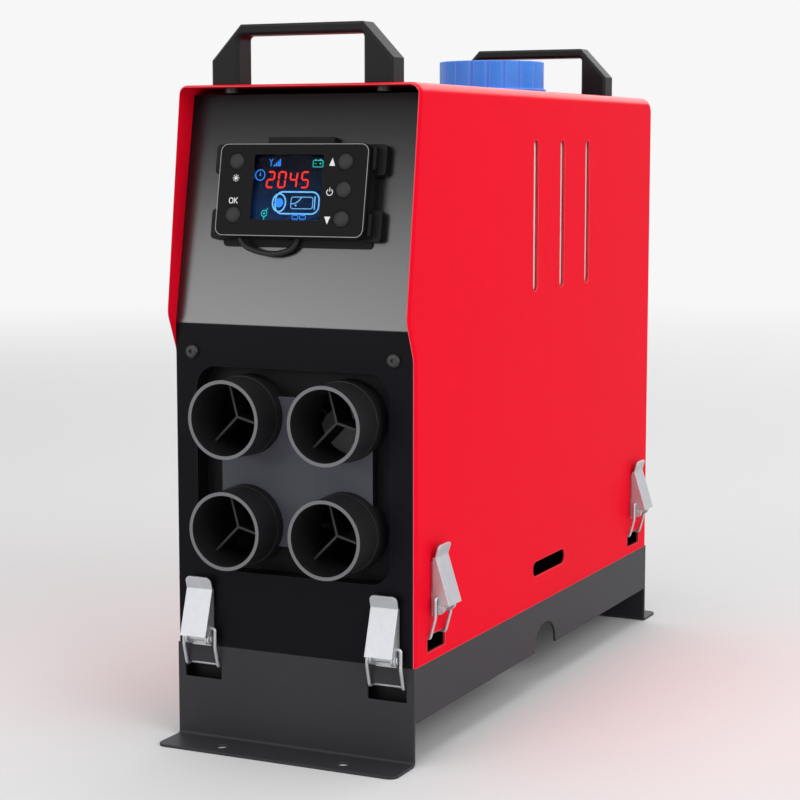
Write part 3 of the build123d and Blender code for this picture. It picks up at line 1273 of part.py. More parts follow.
with BuildPart() as heater_case:
    # barrel, tapering to the round nozzle in front, open to the blower at the rear
    extrude(core_section(core_front_y, 0), amount=core_rear_y - core_front_y)
    loft([ring_face(nozzle_y + DUCT_OVERLAP, NOZZLE_DIA).face(), core_section(core_front_y, 0).face()])
    extrude(ring_face(nozzle_y, NOZZLE_DIA), amount=DUCT_OVERLAP)
    inner_nozzle = NOZZLE_DIA - 2 * CORE_WALL
    extrude(core_section(core_front_y, CORE_WALL), amount=core_rear_y - core_front_y - CORE_WALL,
            mode=Mode.SUBTRACT)
    loft([ring_face(nozzle_y + DUCT_OVERLAP, inner_nozzle).face(),
          core_section(core_front_y, CORE_WALL).face()], mode=Mode.SUBTRACT)
    extrude(ring_face(nozzle_y, inner_nozzle), amount=DUCT_OVERLAP, mode=Mode.SUBTRACT)
    extrude(ring_face(core_rear_y, INTAKE_DIA), amount=-2 * CORE_WALL, mode=Mode.SUBTRACT)
    # raised bead along the seam between the halves
    with BuildSketch(Plane.XY.offset(OUTLET_Z - CASE_BEAD)):
        with Locations((0, (core_front_y + core_rear_y) / 2)):
            Rectangle(CORE_WIDTH + 2 * CASE_BEAD, core_rear_y - core_front_y)
            Rectangle(CORE_WIDTH - CORE_WALL, core_rear_y - core_front_y, mode=Mode.SUBTRACT)
    extrude(amount=2 * CASE_BEAD)
    # holes below for the exhaust, the combustion air and the fuel line
    with BuildSketch(Plane.XY.offset(core_bottom)):
        with Locations((0, exhaust_y)):
            Circle(EXHAUST_DIA / 2 + SEAM_GAP)
        with Locations((0, inlet_y)):
            Circle(INLET_DIA / 2 + SEAM_GAP)
        with Locations((0, burner_feed_y)):
            Circle(LINE_DIA / 2 + SEAM_GAP)
    extrude(amount=CORE_WALL, mode=Mode.SUBTRACT)

case_seam = Plane.XY.offset(OUTLET_Z)
save(split(heater_case.part, bisect_by=case_seam, keep=Keep.TOP), "heater_case_upper")
save(split(heater_case.part, bisect_by=case_seam, keep=Keep.BOTTOM), "heater_case_lower")

with BuildPart() as core_bracket:
    # two folded stools that carry the case above the pan
    for y in (bracket_front_y, bracket_rear_y):
        with BuildSketch(facing_front(y)) as profile:
            with BuildLine():
                stool = Polyline(
                    (-BRACKET_WIDTH / 2 - BRACKET_FOOT, pan_top), (-BRACKET_WIDTH / 2, pan_top),
                    (-BRACKET_WIDTH / 2, core_bottom - BASE_SHEET),
                    (BRACKET_WIDTH / 2, core_bottom - BASE_SHEET),
                    (BRACKET_WIDTH / 2, pan_top), (BRACKET_WIDTH / 2 + BRACKET_FOOT, pan_top))
                offset(stool, amount=BASE_SHEET, side=Side.LEFT)
            make_face()
        extrude(profile.sketch, amount=BRACKET_DEPTH / 2, both=True)
save(core_bracket.part, "core_bracket")

with BuildPart() as heat_exchanger:
    # cast body with axial fins, closed in front, over the burner
    extrude(ring_face(exchanger_front_y, EXCHANGER_DIA), amount=exchanger_rear_y - exchanger_front_y)
    with BuildSketch(facing_rear(exchanger_front_y + FIN_SETBACK)):
        with Locations((0, OUTLET_Z)):
            fin_reach = (FIN_DIA - EXCHANGER_BORE) / 2 - FIN_SHEET
            with PolarLocations(FIN_DIA / 2 - fin_reach / 2, FIN_COUNT):
                Rectangle(fin_reach, FIN_SHEET)
    extrude(amount=exchanger_rear_y - exchanger_front_y - 2 * FIN_SETBACK)
    # exhaust boss, resting on the case's floor
    with BuildSketch(Plane.XY.offset(core_floor)):
        with Locations((0, exhaust_y)):
            Circle(EXHAUST_DIA / 2 + BOSS_WALL)
    extrude(amount=OUTLET_Z - core_floor - EXCHANGER_BORE / 2)
    extrude(ring_face(exchanger_front_y + BURNER_FLANGE, EXCHANGER_BORE),
            amount=exchanger_rear_y - exchanger_front_y, mode=Mode.SUBTRACT)
    with BuildSketch(Plane.XY.offset(core_floor)):
        with Locations((0, exhaust_y)):
            Circle(EXHAUST_DIA / 2 - PIPE_WALL)
    extrude(amount=OUTLET_Z - core_floor, mode=Mode.SUBTRACT)
save(heat_exchanger.part, "heat_exchanger")

neck_front = exchanger_rear_y + BURNER_FLANGE

with BuildPart() as burner_tube:
    extrude(ring_face(exchanger_rear_y, BURNER_FLANGE_DIA), amount=BURNER_FLANGE)
    extrude(ring_face(exchanger_rear_y, BURNER_DIA), amount=-BURNER_LENGTH)
    extrude(ring_face(neck_front, BURNER_DIA), amount=BURNER_NECK)
    extrude(ring_face(exchanger_rear_y - BURNER_LENGTH, BURNER_DIA - 2 * BURNER_WALL),
            amount=BURNER_LENGTH + BURNER_FLANGE + BURNER_NECK - BURNER_WALL, mode=Mode.SUBTRACT)
    # swirl holes round the tube, and the sockets for the glow plug and the fuel line
    for back in BURNER_HOLE_ROWS:
        with BuildSketch(Plane(origin=(0, exchanger_rear_y - back, OUTLET_Z), z_dir=(0, 0, 1))):
            Circle(BURNER_HOLE / 2)
        extrude(amount=BURNER_DIA, both=True, mode=Mode.SUBTRACT)
    with BuildSketch(Plane(origin=(0, burner_feed_y, OUTLET_Z), z_dir=(0, 0, 1))):
        Circle(PLUG_DIA / 2)
    extrude(amount=BURNER_DIA, mode=Mode.SUBTRACT)
save(burner_tube.part, "burner_tube")

with BuildPart() as glow_plug:
    plug_foot = OUTLET_Z + BURNER_DIA / 2 - PLUG_REACH
    with BuildSketch(Plane(origin=(0, burner_feed_y, plug_foot), z_dir=(0, 0, 1))):
        Circle(PLUG_DIA / 2)
    extrude(amount=PLUG_LENGTH)
    with BuildSketch(Plane(origin=(0, burner_feed_y, OUTLET_Z + BURNER_DIA / 2 + SEAM_GAP), z_dir=(0, 0, 1))):
        RegularPolygon(PLUG_DIA, 6)
    extrude(amount=PLUG_HEX)
save(glow_plug.part, "glow_plug")

with BuildPart() as blower_motor:
    extrude(ring_face(motor_front_y, MOTOR_DIA), amount=MOTOR_LENGTH)
    fillet(blower_motor.edges().filter_by(GeomType.CIRCLE), MOTOR_EDGE)
    # foot that seats on the case's floor and takes the combustion air
    with BuildSketch(Plane.XY.offset(core_floor)):
        with Locations((0, motor_middle)):
            Rectangle(MOTOR_FOOT, MOTOR_LENGTH - MOTOR_FOOT_INSET)
    extrude(amount=OUTLET_Z - core_floor - SHAFT_DIA)
    with BuildSketch(Plane.XY.offset(core_floor)):
        with Locations((0, inlet_y)):
            Circle(INLET_DIA / 2 - PIPE_WALL)
    extrude(amount=MOTOR_FOOT_BORE, mode=Mode.SUBTRACT)
    extrude(ring_face(motor_front_y - CUT_OVER, SHAFT_DIA + 2 * RUNNING_GAP),
            amount=MOTOR_LENGTH + 2 * CUT_OVER, mode=Mode.SUBTRACT)
save(blower_motor.part, "blower_motor")

with BuildPart() as drive_shaft:
    extrude(ring_face(shaft_front_y, SHAFT_DIA), amount=shaft_rear_y - shaft_front_y)
    chamfer(drive_shaft.edges().filter_by(GeomType.CIRCLE), SHAFT_EDGE)
save(drive_shaft.part, "drive_shaft")


def blade_section(turn, radius, pitch, chord):
    """A blade's chord section: turn places the blade round the shaft, pitch twists it."""
    outward = Vector(math.cos(turn), 0, math.sin(turn))
    axis_point = Vector(0, fan_y, OUTLET_Z)
    flat = Plane(origin=axis_point + outward * radius, x_dir=(0, 1, 0), z_dir=outward)
    with BuildSketch(flat) as section:
        Rectangle(chord, BLADE_SHEET, rotation=pitch)
    return section.sketch.face()


with BuildPart() as fan_wheel:
    # axial fan that draws room air in through the grille
    extrude(ring_face(fan_y - FAN_DEPTH / 2, FAN_HUB_DIA), amount=FAN_DEPTH)
    for number in range(FAN_BLADES):
        turn = 2 * math.pi * number / FAN_BLADES
        loft([blade_section(turn, FAN_HUB_DIA / 2 - 2, BLADE_ROOT_PITCH, BLADE_ROOT_CHORD),
              blade_section(turn, FAN_DIA / 2, BLADE_TIP_PITCH, BLADE_TIP_CHORD)])
    extrude(ring_face(fan_y - FAN_DEPTH, SHAFT_DIA), amount=2 * FAN_DEPTH, mode=Mode.SUBTRACT)
save(fan_wheel.part, "fan_wheel")

with BuildPart() as combustion_wheel:
    # side-channel wheel that feeds the burner
    wheel_front = motor_front_y - SEAT_GAP - WHEEL_DEPTH
    extrude(ring_face(wheel_front, WHEEL_DIA), amount=WHEEL_DEPTH)
    with BuildSketch(facing_rear(wheel_front)):
        with Locations((0, OUTLET_Z)):
            with PolarLocations(WHEEL_DIA / 2, WHEEL_VANES):
                Circle(WHEEL_POCKET / 2)
    extrude(amount=WHEEL_DEPTH / 2, mode=Mode.SUBTRACT)
    extrude(ring_face(wheel_front, SHAFT_DIA), amount=WHEEL_DEPTH, mode=Mode.SUBTRACT)
save(combustion_wheel.part, "combustion_wheel")

with BuildPart() as control_unit:
    unit_foot = OUTLET_Z + MOTOR_DIA / 2 + SEAM_GAP
    with BuildSketch(Plane.XY.offset(unit_foot)):
        with Locations((0, motor_middle)):
            RectangleRounded(UNIT_WIDTH, MOTOR_LENGTH, UNIT_CORNER)
    extrude(amount=UNIT_HEIGHT)
    chamfer(control_unit.faces().sort_by(Axis.Z)[-1].edges(), UNIT_EDGE)
save(control_unit.part, "control_unit")


def drop_pipe(y, diameter):
    """A straight spigot from the case's floor down through the pan at y."""
    with BuildPart() as pipe:
        with BuildSketch(Plane.XY.offset(PIPE_FOOT_Z)) as ring:
            with Locations((0, y)):
                Circle(diameter / 2)
                Circle(diameter / 2 - PIPE_WALL, mode=Mode.SUBTRACT)
        extrude(ring.sketch, amount=core_floor - PIPE_FOOT_Z)
        # bead under the pan that stops a hose
        with BuildSketch(Plane.XY.offset(PIPE_FOOT_Z + PIPE_GRIP)) as bead:
            with Locations((0, y)):
                Circle(diameter / 2 + PIPE_BEAD)
                Circle(diameter / 2 - PIPE_WALL, mode=Mode.SUBTRACT)
        extrude(bead.sketch, amount=PIPE_BEAD)
    return pipe.part


save(drop_pipe(exhaust_y, EXHAUST_DIA), "exhaust_pipe")
save(drop_pipe(inlet_y, INLET_DIA), "inlet_pipe")

# ---------------------------------------------------------------- fuel pump and lines

pump_front = pump_y - PUMP_LENGTH / 2
pump_rear = pump_y + PUMP_LENGTH / 2
chamber_length = PLUNGER_LENGTH + PLUNGER_STROKE + 2 * SEAT_GAP


def pump_circle(y, diameter):
    """A disc on the pump's axis at y."""
    with BuildSketch(facing_rear(y)) as disc:
        with Locations((-PUMP_X, PUMP_Z)):
            Circle(diameter / 2)
    return disc.sketch


with BuildPart() as fuel_pump:
    extrude(pump_circle(pump_front, PUMP_DIA), amount=PUMP_LENGTH)
    fillet(fuel_pump.edges().filter_by(GeomType.CIRCLE), PUMP_EDGE)
    extrude(pump_circle(pump_front - PUMP_NIPPLE, LINE_DIA), amount=PUMP_LENGTH + 2 * PUMP_NIPPLE)
    extrude(pump_circle(pump_front - PUMP_NIPPLE, LINE_BORE), amount=PUMP_LENGTH + 2 * PUMP_NIPPLE,
            mode=Mode.SUBTRACT)
    extrude(pump_circle(pump_y - chamber_length / 2, PLUNGER_DIA + 2 * RUNNING_GAP),
            amount=chamber_length, mode=Mode.SUBTRACT)
save(fuel_pump.part, "fuel_pump")

with BuildPart() as pump_plunger:
    extrude(pump_circle(pump_y - chamber_length / 2 + SEAT_GAP, PLUNGER_DIA), amount=PLUNGER_LENGTH)
save(pump_plunger.part, "pump_plunger")

with BuildPart() as pump_clip:
    # rubber-lined clip that holds the pump over the pan
    with BuildSketch(facing_rear(pump_y - CLIP_WIDTH / 2)):
        with Locations((-PUMP_X, PUMP_Z)):
            Circle(PUMP_DIA / 2 + CLIP_WALL)
        with Locations((-PUMP_X, (PUMP_Z + pan_top) / 2)):
            Rectangle(CLIP_WIDTH, PUMP_Z - pan_top)
        with Locations((-PUMP_X, PUMP_Z)):
            Circle(PUMP_DIA / 2, mode=Mode.SUBTRACT)
    extrude(amount=CLIP_WIDTH)
save(pump_clip.part, "pump_clip")

nipple_foot = shelf_top - LINE_NIPPLE
supply_line = wire_tube(
    [(line_x, line_y, nipple_foot), (line_x, line_y, LINE_BEND_Z),
     (line_x - LINE_LEAN, line_y + LINE_SWING, PUMP_Z),
     (PUMP_X + LINE_APPROACH, line_y + LINE_LOOP, PUMP_Z), (PUMP_X, line_y + LINE_SWING, PUMP_Z),
     (PUMP_X, pump_rear + PUMP_NIPPLE, PUMP_Z)],
    SUPPLY_RADII, LINE_DIA)
feed_line = wire_tube(
    [(PUMP_X, pump_front - PUMP_NIPPLE, PUMP_Z), (PUMP_X, pump_front - PUMP_NIPPLE - FEED_RUN, PUMP_Z),
     (0, burner_feed_y, PUMP_Z - FEED_DROP), (0, burner_feed_y, OUTLET_Z - BURNER_DIA / 2)],
    FEED_RADII, LINE_DIA)
with BuildPart() as fuel_lines:
    add(supply_line)
    add(feed_line)
save(fuel_lines.part, "fuel_lines")

with BuildPart() as power_gland:
    # cable gland in the rear panel: collar outside, thread through, nut inside
    with BuildSketch(facing_rear(rear_y)) as collar:
        with Locations((GLAND_X, GLAND_Z)):
            Circle(GLAND_THREAD / 2 + GLAND_RIM)
    extrude(collar.sketch, amount=GLAND_LENGTH)
    fillet(power_gland.edges().group_by(Axis.Y)[-1], GLAND_EDGE)
    with BuildSketch(facing_rear(rear_y)) as thread:
        with Locations((GLAND_X, GLAND_Z)):
            Circle(GLAND_THREAD / 2 - SEAM_GAP)
    extrude(thread.sketch, amount=-GLAND_LENGTH)
    with BuildSketch(facing_rear(rear_y - PANEL_SHEET)) as nut:
        with Locations((GLAND_X, GLAND_Z)):
            RegularPolygon(GLAND_THREAD / 2 + GLAND_RIM, 6)
    extrude(nut.sketch, amount=-GLAND_NUT)
    with BuildSketch(facing_rear(rear_y + GLAND_LENGTH)) as bore:
        with Locations((GLAND_X, GLAND_Z)):
            Circle(GLAND_BORE / 2)
    extrude(bore.sketch, amount=-3 * GLAND_LENGTH, mode=Mode.SUBTRACT)
save(power_gland.part, "power_gland")
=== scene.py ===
"""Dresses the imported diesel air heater: finishes, printed marks, screen, lead, studio and camera.

Every length is in metres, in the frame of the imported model: X to the right seen from the front,
Y to the back and Z up from the floor. Artwork is drawn in millimetres on the controller's face.
"""

import json
import math

import bmesh
import bpy
from mathutils import Euler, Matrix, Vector

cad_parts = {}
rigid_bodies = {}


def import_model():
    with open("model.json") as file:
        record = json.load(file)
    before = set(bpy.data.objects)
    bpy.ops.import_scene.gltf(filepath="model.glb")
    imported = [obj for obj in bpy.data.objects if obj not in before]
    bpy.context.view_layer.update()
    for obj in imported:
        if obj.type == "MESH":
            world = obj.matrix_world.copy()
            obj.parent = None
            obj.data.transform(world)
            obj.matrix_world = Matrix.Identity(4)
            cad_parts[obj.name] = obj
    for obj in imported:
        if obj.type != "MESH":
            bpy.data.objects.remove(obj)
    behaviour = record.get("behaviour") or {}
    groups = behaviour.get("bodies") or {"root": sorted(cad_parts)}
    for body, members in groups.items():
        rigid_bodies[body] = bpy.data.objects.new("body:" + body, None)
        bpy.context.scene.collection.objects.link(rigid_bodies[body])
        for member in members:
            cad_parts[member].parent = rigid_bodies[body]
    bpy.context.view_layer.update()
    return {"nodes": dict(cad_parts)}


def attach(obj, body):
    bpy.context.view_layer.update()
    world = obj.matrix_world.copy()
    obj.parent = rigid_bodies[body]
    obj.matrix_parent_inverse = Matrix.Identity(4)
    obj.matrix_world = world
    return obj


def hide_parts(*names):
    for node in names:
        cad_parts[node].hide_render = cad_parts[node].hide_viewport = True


for leftover in list(bpy.data.objects):
    bpy.data.objects.remove(leftover)

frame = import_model()

bl_info = {
    "name": "Diesel Air Heater",
    "version": (1, 0, 0),
    "blender": (4, 5, 0),
    "location": "View3D > Sidebar > Heater",
    "description": "Finishes, marks, screen, lead and studio for a portable diesel air heater",
    "category": "Object",
}

MM = 0.001
MICRON = 0.000001

# Where finishes change. A pair of heights gives where a change starts and where it is complete.
CONSOLE_FOLD = 0.239  # the front panel folds back into the sloped console
CONSOLE_GLOSS = (0.385, 0.265)  # the console turns glossy on its way down
SCREEN_GLOW = (0.330, 0.296)  # the screen turns navy on its way down
STRAW_HEAT = (0.115, 0.190)  # the core's steel turns straw-coloured on its way up
NO_HEAT = (0.5, 0.6)  # above the whole model, for steel that stays cool
PAD_FRONT = 0.190  # the outlet pad's face lies this far forward of the middle,
VANE_FRONT = 0.201  # the vanes' edges this far
RIM_FRONT = 0.217  # and the outlet tubes' ends this far
TRAY_SIDE = 0.0735  # the tray's inner walls lie this far to each side
TRAY_END = 0.1935  # and this far to the front and back
CHANGE = 0.0006  # half the width of the change at the console's fold
FLOOR_FADE = (0.9, 3.4)  # the floor starts to fade this far out, and has gone at the second

# Colours that belong to a finish and aren't settings.
WORN_STEEL = (0.28, 0.28, 0.29)
STRAW = (0.62, 0.52, 0.36)
DRAWN_ZINC = (0.46, 0.47, 0.51)
# Paler zinc along the latches' edges: wear and a painted glint.
ZINC_EDGE_WEAR_AND_GLINT = (0.90, 0.90, 0.92)
# Painted highlight along the cap's rib edges.
CAP_EDGE_HIGHLIGHT = (0.30, 0.50, 0.98)
RESIST = (0.012, 0.10, 0.045)
COVERED_TRACK = (0.03, 0.22, 0.09)
BARE_PAD = (0.75, 0.62, 0.35)
SCREEN_BLACK, SCREEN_NAVY = (0.0015, 0.0018, 0.004), (0.003, 0.012, 0.045)
UNLIT, NAVY_LIGHT = (0.0, 0.0, 0.002), (0.001, 0.012, 0.045)
WIPED, CLEAR = (0.93, 0.94, 0.96), (1.0, 1.0, 1.0)

# The lead's way round, from the plug under the controller to the hole behind it, in millimetres:
# across from the controller's middle, up the console's slope, and out from the console's sheet.
LEAD_ROUTE = (
    (-33, -23, 7.0), (-32, -29.5, 6.8), (-22, -33.5, 5.2), (-10, -34.5, 4.0),
    (0.5, -30.5, 3.3), (2, -22, 3.2), (2, -14, 3.2), (2, -14, -8.0),
)
FACE_FRONT = 12.6  # the controller's face stands this far out from the console's sheet


# Settings


def number(name, description, value, **kind):
    """A number that a user can change. Kind gives its unit or subtype and its limits."""
    return bpy.props.FloatProperty(name=name, description=description, default=value, **kind)


def tint(name, description, value):
    """A colour that a user can change, written as it lies on the surface in plain white light."""
    return bpy.props.FloatVectorProperty(
        name=name, description=description, subtype="COLOR", size=3, min=0.0, max=1.0,
        default=value,
    )


def span(name, description, value):
    """A length in metres that a user can change."""
    return number(name, description, value, unit="LENGTH", precision=5, min=0.0)


def watts(name, description, value):
    """A lamp's power in watts that a user can change."""
    return number(name, description, value, unit="POWER")


class SheetSettings(bpy.types.PropertyGroup):
    """Colours and grain of the painted sheet parts."""

    cover: tint("Cover red", "Powder coat of the outer cover", (0.86, 0.004, 0.022))
    # Painted highlight: a pale pink that stands for light caught along the cover's cut edges.
    cover_edge_highlight: tint("Cover edge", "Thin coat along the cover's edges", (1.0, 0.42, 0.44))
    black: tint("Sheet black", "Powder coat of the panels", (0.0042, 0.0040, 0.0058))
    # Painted highlight and wear: a paler grey along the black sheets' edges.
    black_edge_sheen_and_wear: tint("Sheet edge", "Thin coat along black edges", (0.09, 0.09, 0.095))
    tray: tint("Tray black", "Powder coat of the base tray", (0.032, 0.032, 0.037))
    grain: span("Orange peel", "Spacing of the powder coat's ripples", 0.0016)
    edge: span("Edge width", "Width of the paler line along a sheet's edge", 0.0006)


class MouldingSettings(bpy.types.PropertyGroup):
    """Colours and grain of the moulded and rubber parts."""

    black: tint("Moulding black", "Outlets and handles", (0.0065, 0.0065, 0.0070))
    # Painted light: this tone stands for light falling on the raised pad's front face.
    pad: tint("Outlet pad", "Raised pad round the outlets", (0.092, 0.092, 0.116))
    # Paler tone of the tubes' front-facing ends; at a lower share it is a painted highlight on the
    # vanes' front edges.
    rim: tint("Outlet rim", "Cut ends of the tubes and vanes", (0.17, 0.17, 0.18))
    rubber: tint("Rubber", "Keys, grommet and seals", (0.014, 0.014, 0.015))
    cap: tint("Cap blue", "Filler cap", (0.045, 0.27, 0.97))
    # Milky white tinted pink; the pink is a painted reflection of the red cover.
    tank: tint("Tank", "Milky plastic of the fuel tank", (0.94, 0.88, 0.88))
    hose: tint("Fuel hose", "Clear green fuel hose", (0.10, 0.40, 0.16))
    grain: span("Texture", "Spacing of the eroded texture in the mouldings", 0.0006)


class MetalSettings(bpy.types.PropertyGroup):
    """Colours of the bare metal parts."""

    zinc: tint("Bright zinc", "Latches and rivets", (0.60, 0.61, 0.635))
    casting: tint("Casting", "Heat exchanger and combustion wheel", (0.56, 0.57, 0.58))
    steel: tint("Steel", "Pipes, shaft, motor and pump", (0.58, 0.58, 0.59))
    screw: tint("Screw black", "Blackened screws and grille", (0.012, 0.012, 0.013))


class ControllerSettings(bpy.types.PropertyGroup):
    """What the controller shows."""

    ink: tint("Ink", "Printed marks by the keys", (0.83, 0.84, 0.85))
    line: tint("Edge line", "Fine line round the face", (0.36, 0.36, 0.37))
    digits: bpy.props.StringProperty(
        name="Digits", description="Four figures on the screen", default="2045", maxlen=4
    )
    red: tint("Digit red", "Lit figures", (0.95, 0.03, 0.02))
    blue: tint("Symbol blue", "Lit outlines of the heater figure", (0.16, 0.50, 0.92))
    deep_blue: tint("Ring blue", "Lit clock ring and signal bars", (0.03, 0.24, 0.86))
    teal: tint("Symbol teal", "Lit battery and pump", (0.02, 0.55, 0.50))
    glow: number("Glow", "How brightly the screen's symbols shine", 1.1, min=0.0)
    ink_height: span("Ink height", "Thickness of the printed marks", 0.00006)
    lead_diameter: span("Lead diameter", "Control lead", 0.0032)


class StudioSettings(bpy.types.PropertyGroup):
    """Floor, surroundings and lamps."""

    floor: tint("Floor", "Pale studio floor", (0.78, 0.78, 0.785))
    surround: tint("Surround", "What is seen and mirrored around", (0.93, 0.93, 0.935))
    floor_radius: span("Floor radius", "Where the floor ends", 9.0)
    level: number("Soft light", "Light from all round", 0.50, min=0.0)
    key: watts("Side lamp", "Power of the large lamp at the right", 43.0)
    fill: watts("Front lamp", "Power of the lamp before the front", 12.0)
    strip: watts("Low lamp", "Power of the low lamp that the console shows", 5.5)
    top: watts("Top lamp", "Power of the lamp overhead", 20.0)
    back: watts("Rear lamp", "Power of the lamp behind", 13.0)


class CameraSettings(bpy.types.PropertyGroup):
    """Where the camera stands."""

    place: bpy.props.FloatVectorProperty(
        name="Place", description="Camera position", subtype="TRANSLATION", unit="LENGTH", size=3,
        default=(0.53166, -1.1713, 0.33438),
    )
    heading: number("Heading", "Turn from facing the front", math.radians(25.49), subtype="ANGLE")
    dip: number("Dip", "How far the camera looks down", math.radians(6.97), subtype="ANGLE")
    lens: number("Lens", "Focal length", 91.45, unit="CAMERA", min=1.0)


class HeaterSettings(bpy.types.PropertyGroup):
    """All settings of the heater."""

    sheet: bpy.props.PointerProperty(type=SheetSettings)
    moulding: bpy.props.PointerProperty(type=MouldingSettings)
    metal: bpy.props.PointerProperty(type=MetalSettings)
    controller: bpy.props.PointerProperty(type=ControllerSettings)
    studio: bpy.props.PointerProperty(type=StudioSettings)
    camera: bpy.props.PointerProperty(type=CameraSettings)


# Finishes


class Signal:
    """An output socket of a finish, for plain Python sums. Each sum adds a Math node."""

    def __init__(self, finish, socket):
        self.finish = finish
        self.socket = socket

    def maths(self, operation, *values, clamp=False):
        settings = {"operation": operation, "use_clamp": clamp}
        return self.finish.node("ShaderNodeMath", settings, dict(enumerate(values)))

    def __add__(self, other):
        return self.maths("ADD", self, other)

    def __sub__(self, other):
        return self.maths("SUBTRACT", self, other)

    def __rsub__(self, other):
        return self.maths("SUBTRACT", other, self)

    def __mul__(self, other):
        return self.maths("MULTIPLY", self, other)

    def __abs__(self):
        return self.maths("ABSOLUTE", self)

    __radd__ = __add__
    __rmul__ = __mul__

    def limit(self):
        """Kept between 0 and 1."""
        return self.maths("ADD", self, 0.0, clamp=True)

    def rise(self, start, end):
        """0 before start, 1 after end, and smooth between them."""
        settings = {"interpolation_type": "SMOOTHSTEP"}
        return self.finish.node("ShaderNodeMapRange", settings, {0: self, 1: start, 2: end})


class Finish:
    """Builds one node material, or the world, from named nodes."""

    def __init__(self, name, owner=None):
        self.owner = owner or bpy.data.materials.new(name)
        self.owner.use_nodes = True
        self.tree = self.owner.node_tree
        self.tree.nodes.clear()

    def node(self, kind, settings=None, sockets=None, output=0):
        """Adds a node, sets it up, fills its sockets with values or links, and gives one output."""
        node = self.tree.nodes.new(kind)
        for name, value in (settings or {}).items():
            setattr(node, name, value)
        for name, value in (sockets or {}).items():
            socket = node.inputs[name]
            if isinstance(value, Signal):
                self.tree.links.new(value.socket, socket)
            else:  # a node's colour has a fourth number
                socket.default_value = (*value, 1.0) if socket.type == "RGBA" else value
        return Signal(self, node.outputs[output]) if node.outputs else None

    def place(self):
        """Position in the model's frame, which moves along with a moving part."""
        return self.node("ShaderNodeTexCoord", output="Object")

    def part(self, vector, axis):
        """One of a vector's three numbers."""
        return self.node("ShaderNodeSeparateXYZ", sockets={0: vector}, output="XYZ".index(axis))

    def height(self):
        """Height above the floor."""
        return self.part(self.place(), "Z")

    def forward(self):
        """Distance forward of the model's middle."""
        return 0.0 - self.part(self.place(), "Y")

    def facing(self, axis):
        """How far the surface faces along an axis of the model's frame."""
        return self.part(self.node("ShaderNodeTexCoord", output="Normal"), axis)

    def facing_front(self, start, end):
        """1 where the surface faces the front, 0 where it is turned away."""
        return (0.0 - self.facing("Y")).rise(start, end)

    def cloud(self, size, detail=2.0, rough=0.5, streak=None):
        """Soft random patches about size metres across, drawn out where streak scales an axis."""
        where = self.place()
        if streak:
            sockets = {0: where, 1: streak}
            where = self.node("ShaderNodeVectorMath", {"operation": "MULTIPLY"}, sockets)
        sockets = {"Vector": where, "Scale": 1.0 / size, "Detail": detail, "Roughness": rough}
        return self.node("ShaderNodeTexNoise", {"noise_dimensions": "3D"}, sockets)

    def cells(self, size, feature="F1"):
        """Distance to the nearest of many scattered points, about size metres apart."""
        sockets = {"Vector": self.place(), "Scale": 1.0 / size}
        return self.node("ShaderNodeTexVoronoi", {"feature": feature}, sockets)

    def blend(self, first, second, share):
        """From the first colour to the second as share goes from 0 to 1."""
        sockets = {0: share, 6: first, 7: second}  # factor, A and B
        return self.node("ShaderNodeMix", {"data_type": "RGBA"}, sockets, output=2)

    def mottled(self, colour, dark, pale, pattern):
        """A colour between a darker and a paler form of itself, as pattern goes from 0 to 1."""
        return self.blend(shade(colour, dark), shade(colour, pale), pattern)

    def softened(self, radius):
        """The surface's direction with its corners rounded to that radius."""
        return self.node("ShaderNodeBevel", {"samples": 6}, {"Radius": radius})

    def corners(self, radius, gain=4.0):
        """1 along corners and cut edges, 0 on the flats."""
        sockets = {0: self.softened(radius), 1: self.node("ShaderNodeNewGeometry", output="Normal")}
        settings = {"operation": "DOT_PRODUCT"}
        level = self.node("ShaderNodeVectorMath", settings, sockets, output="Value")
        return ((1.0 - level) * gain).limit()

    def relief(self, height, depth, corner=None):
        """Surface direction with height as a relief, depth microns deep."""
        sockets = {"Height": height, "Distance": depth * MICRON, "Strength": 1.0}
        if corner:
            sockets["Normal"] = self.softened(corner)
        return self.node("ShaderNodeBump", sockets=sockets)

    def surface(self, **sockets):
        """The finished surface. Underscores stand for spaces, so Base_Color fills Base Color."""
        fills = {name.replace("_", " "): value for name, value in sockets.items()}
        return self.output(self.node("ShaderNodeBsdfPrincipled", sockets=fills))

    def output(self, shader):
        """Ends the finish with its output node, and gives the material or world."""
        kind = "World" if isinstance(self.owner, bpy.types.World) else "Material"
        self.node("ShaderNodeOutput" + kind, sockets={"Surface": shader})
        return self.owner


def shade(colour, factor):
    """A lighter or darker form of a colour."""
    return tuple(min(1.0, part * factor) for part in colour)


def red_powder_coat(sheet):
    """Satin red coat with orange peel, a painted pink highlight along its cut edges, and glossier
    on the roof's folds.
    """
    finish = Finish("red_powder_coat")
    drift = finish.cloud(0.16, detail=3.0)
    peel = finish.cloud(sheet.grain, detail=1.5)
    flecks = finish.cloud(0.004, detail=4.0)
    tone = finish.mottled(sheet.cover, 0.93, 1.04, drift)
    tone = finish.blend(tone, shade(sheet.cover, 0.88), flecks.rise(0.60, 0.85) * 0.35)
    # Painted highlight: pale pink along the cover's cut edges.
    tone = finish.blend(tone, sheet.cover_edge_highlight, finish.corners(sheet.edge) * 0.6)
    upward = finish.facing("Z")
    fold = upward.rise(0.12, 0.45) * upward.rise(0.998, 0.93)
    return finish.surface(
        Base_Color=tone,
        Roughness=0.34 + drift * 0.08 + flecks * 0.06,
        Normal=finish.relief(peel, 20, sheet.edge),
        Specular_IOR_Level=0.015,
        Coat_Weight=fold * 0.5,
        Coat_Roughness=0.30,
    )


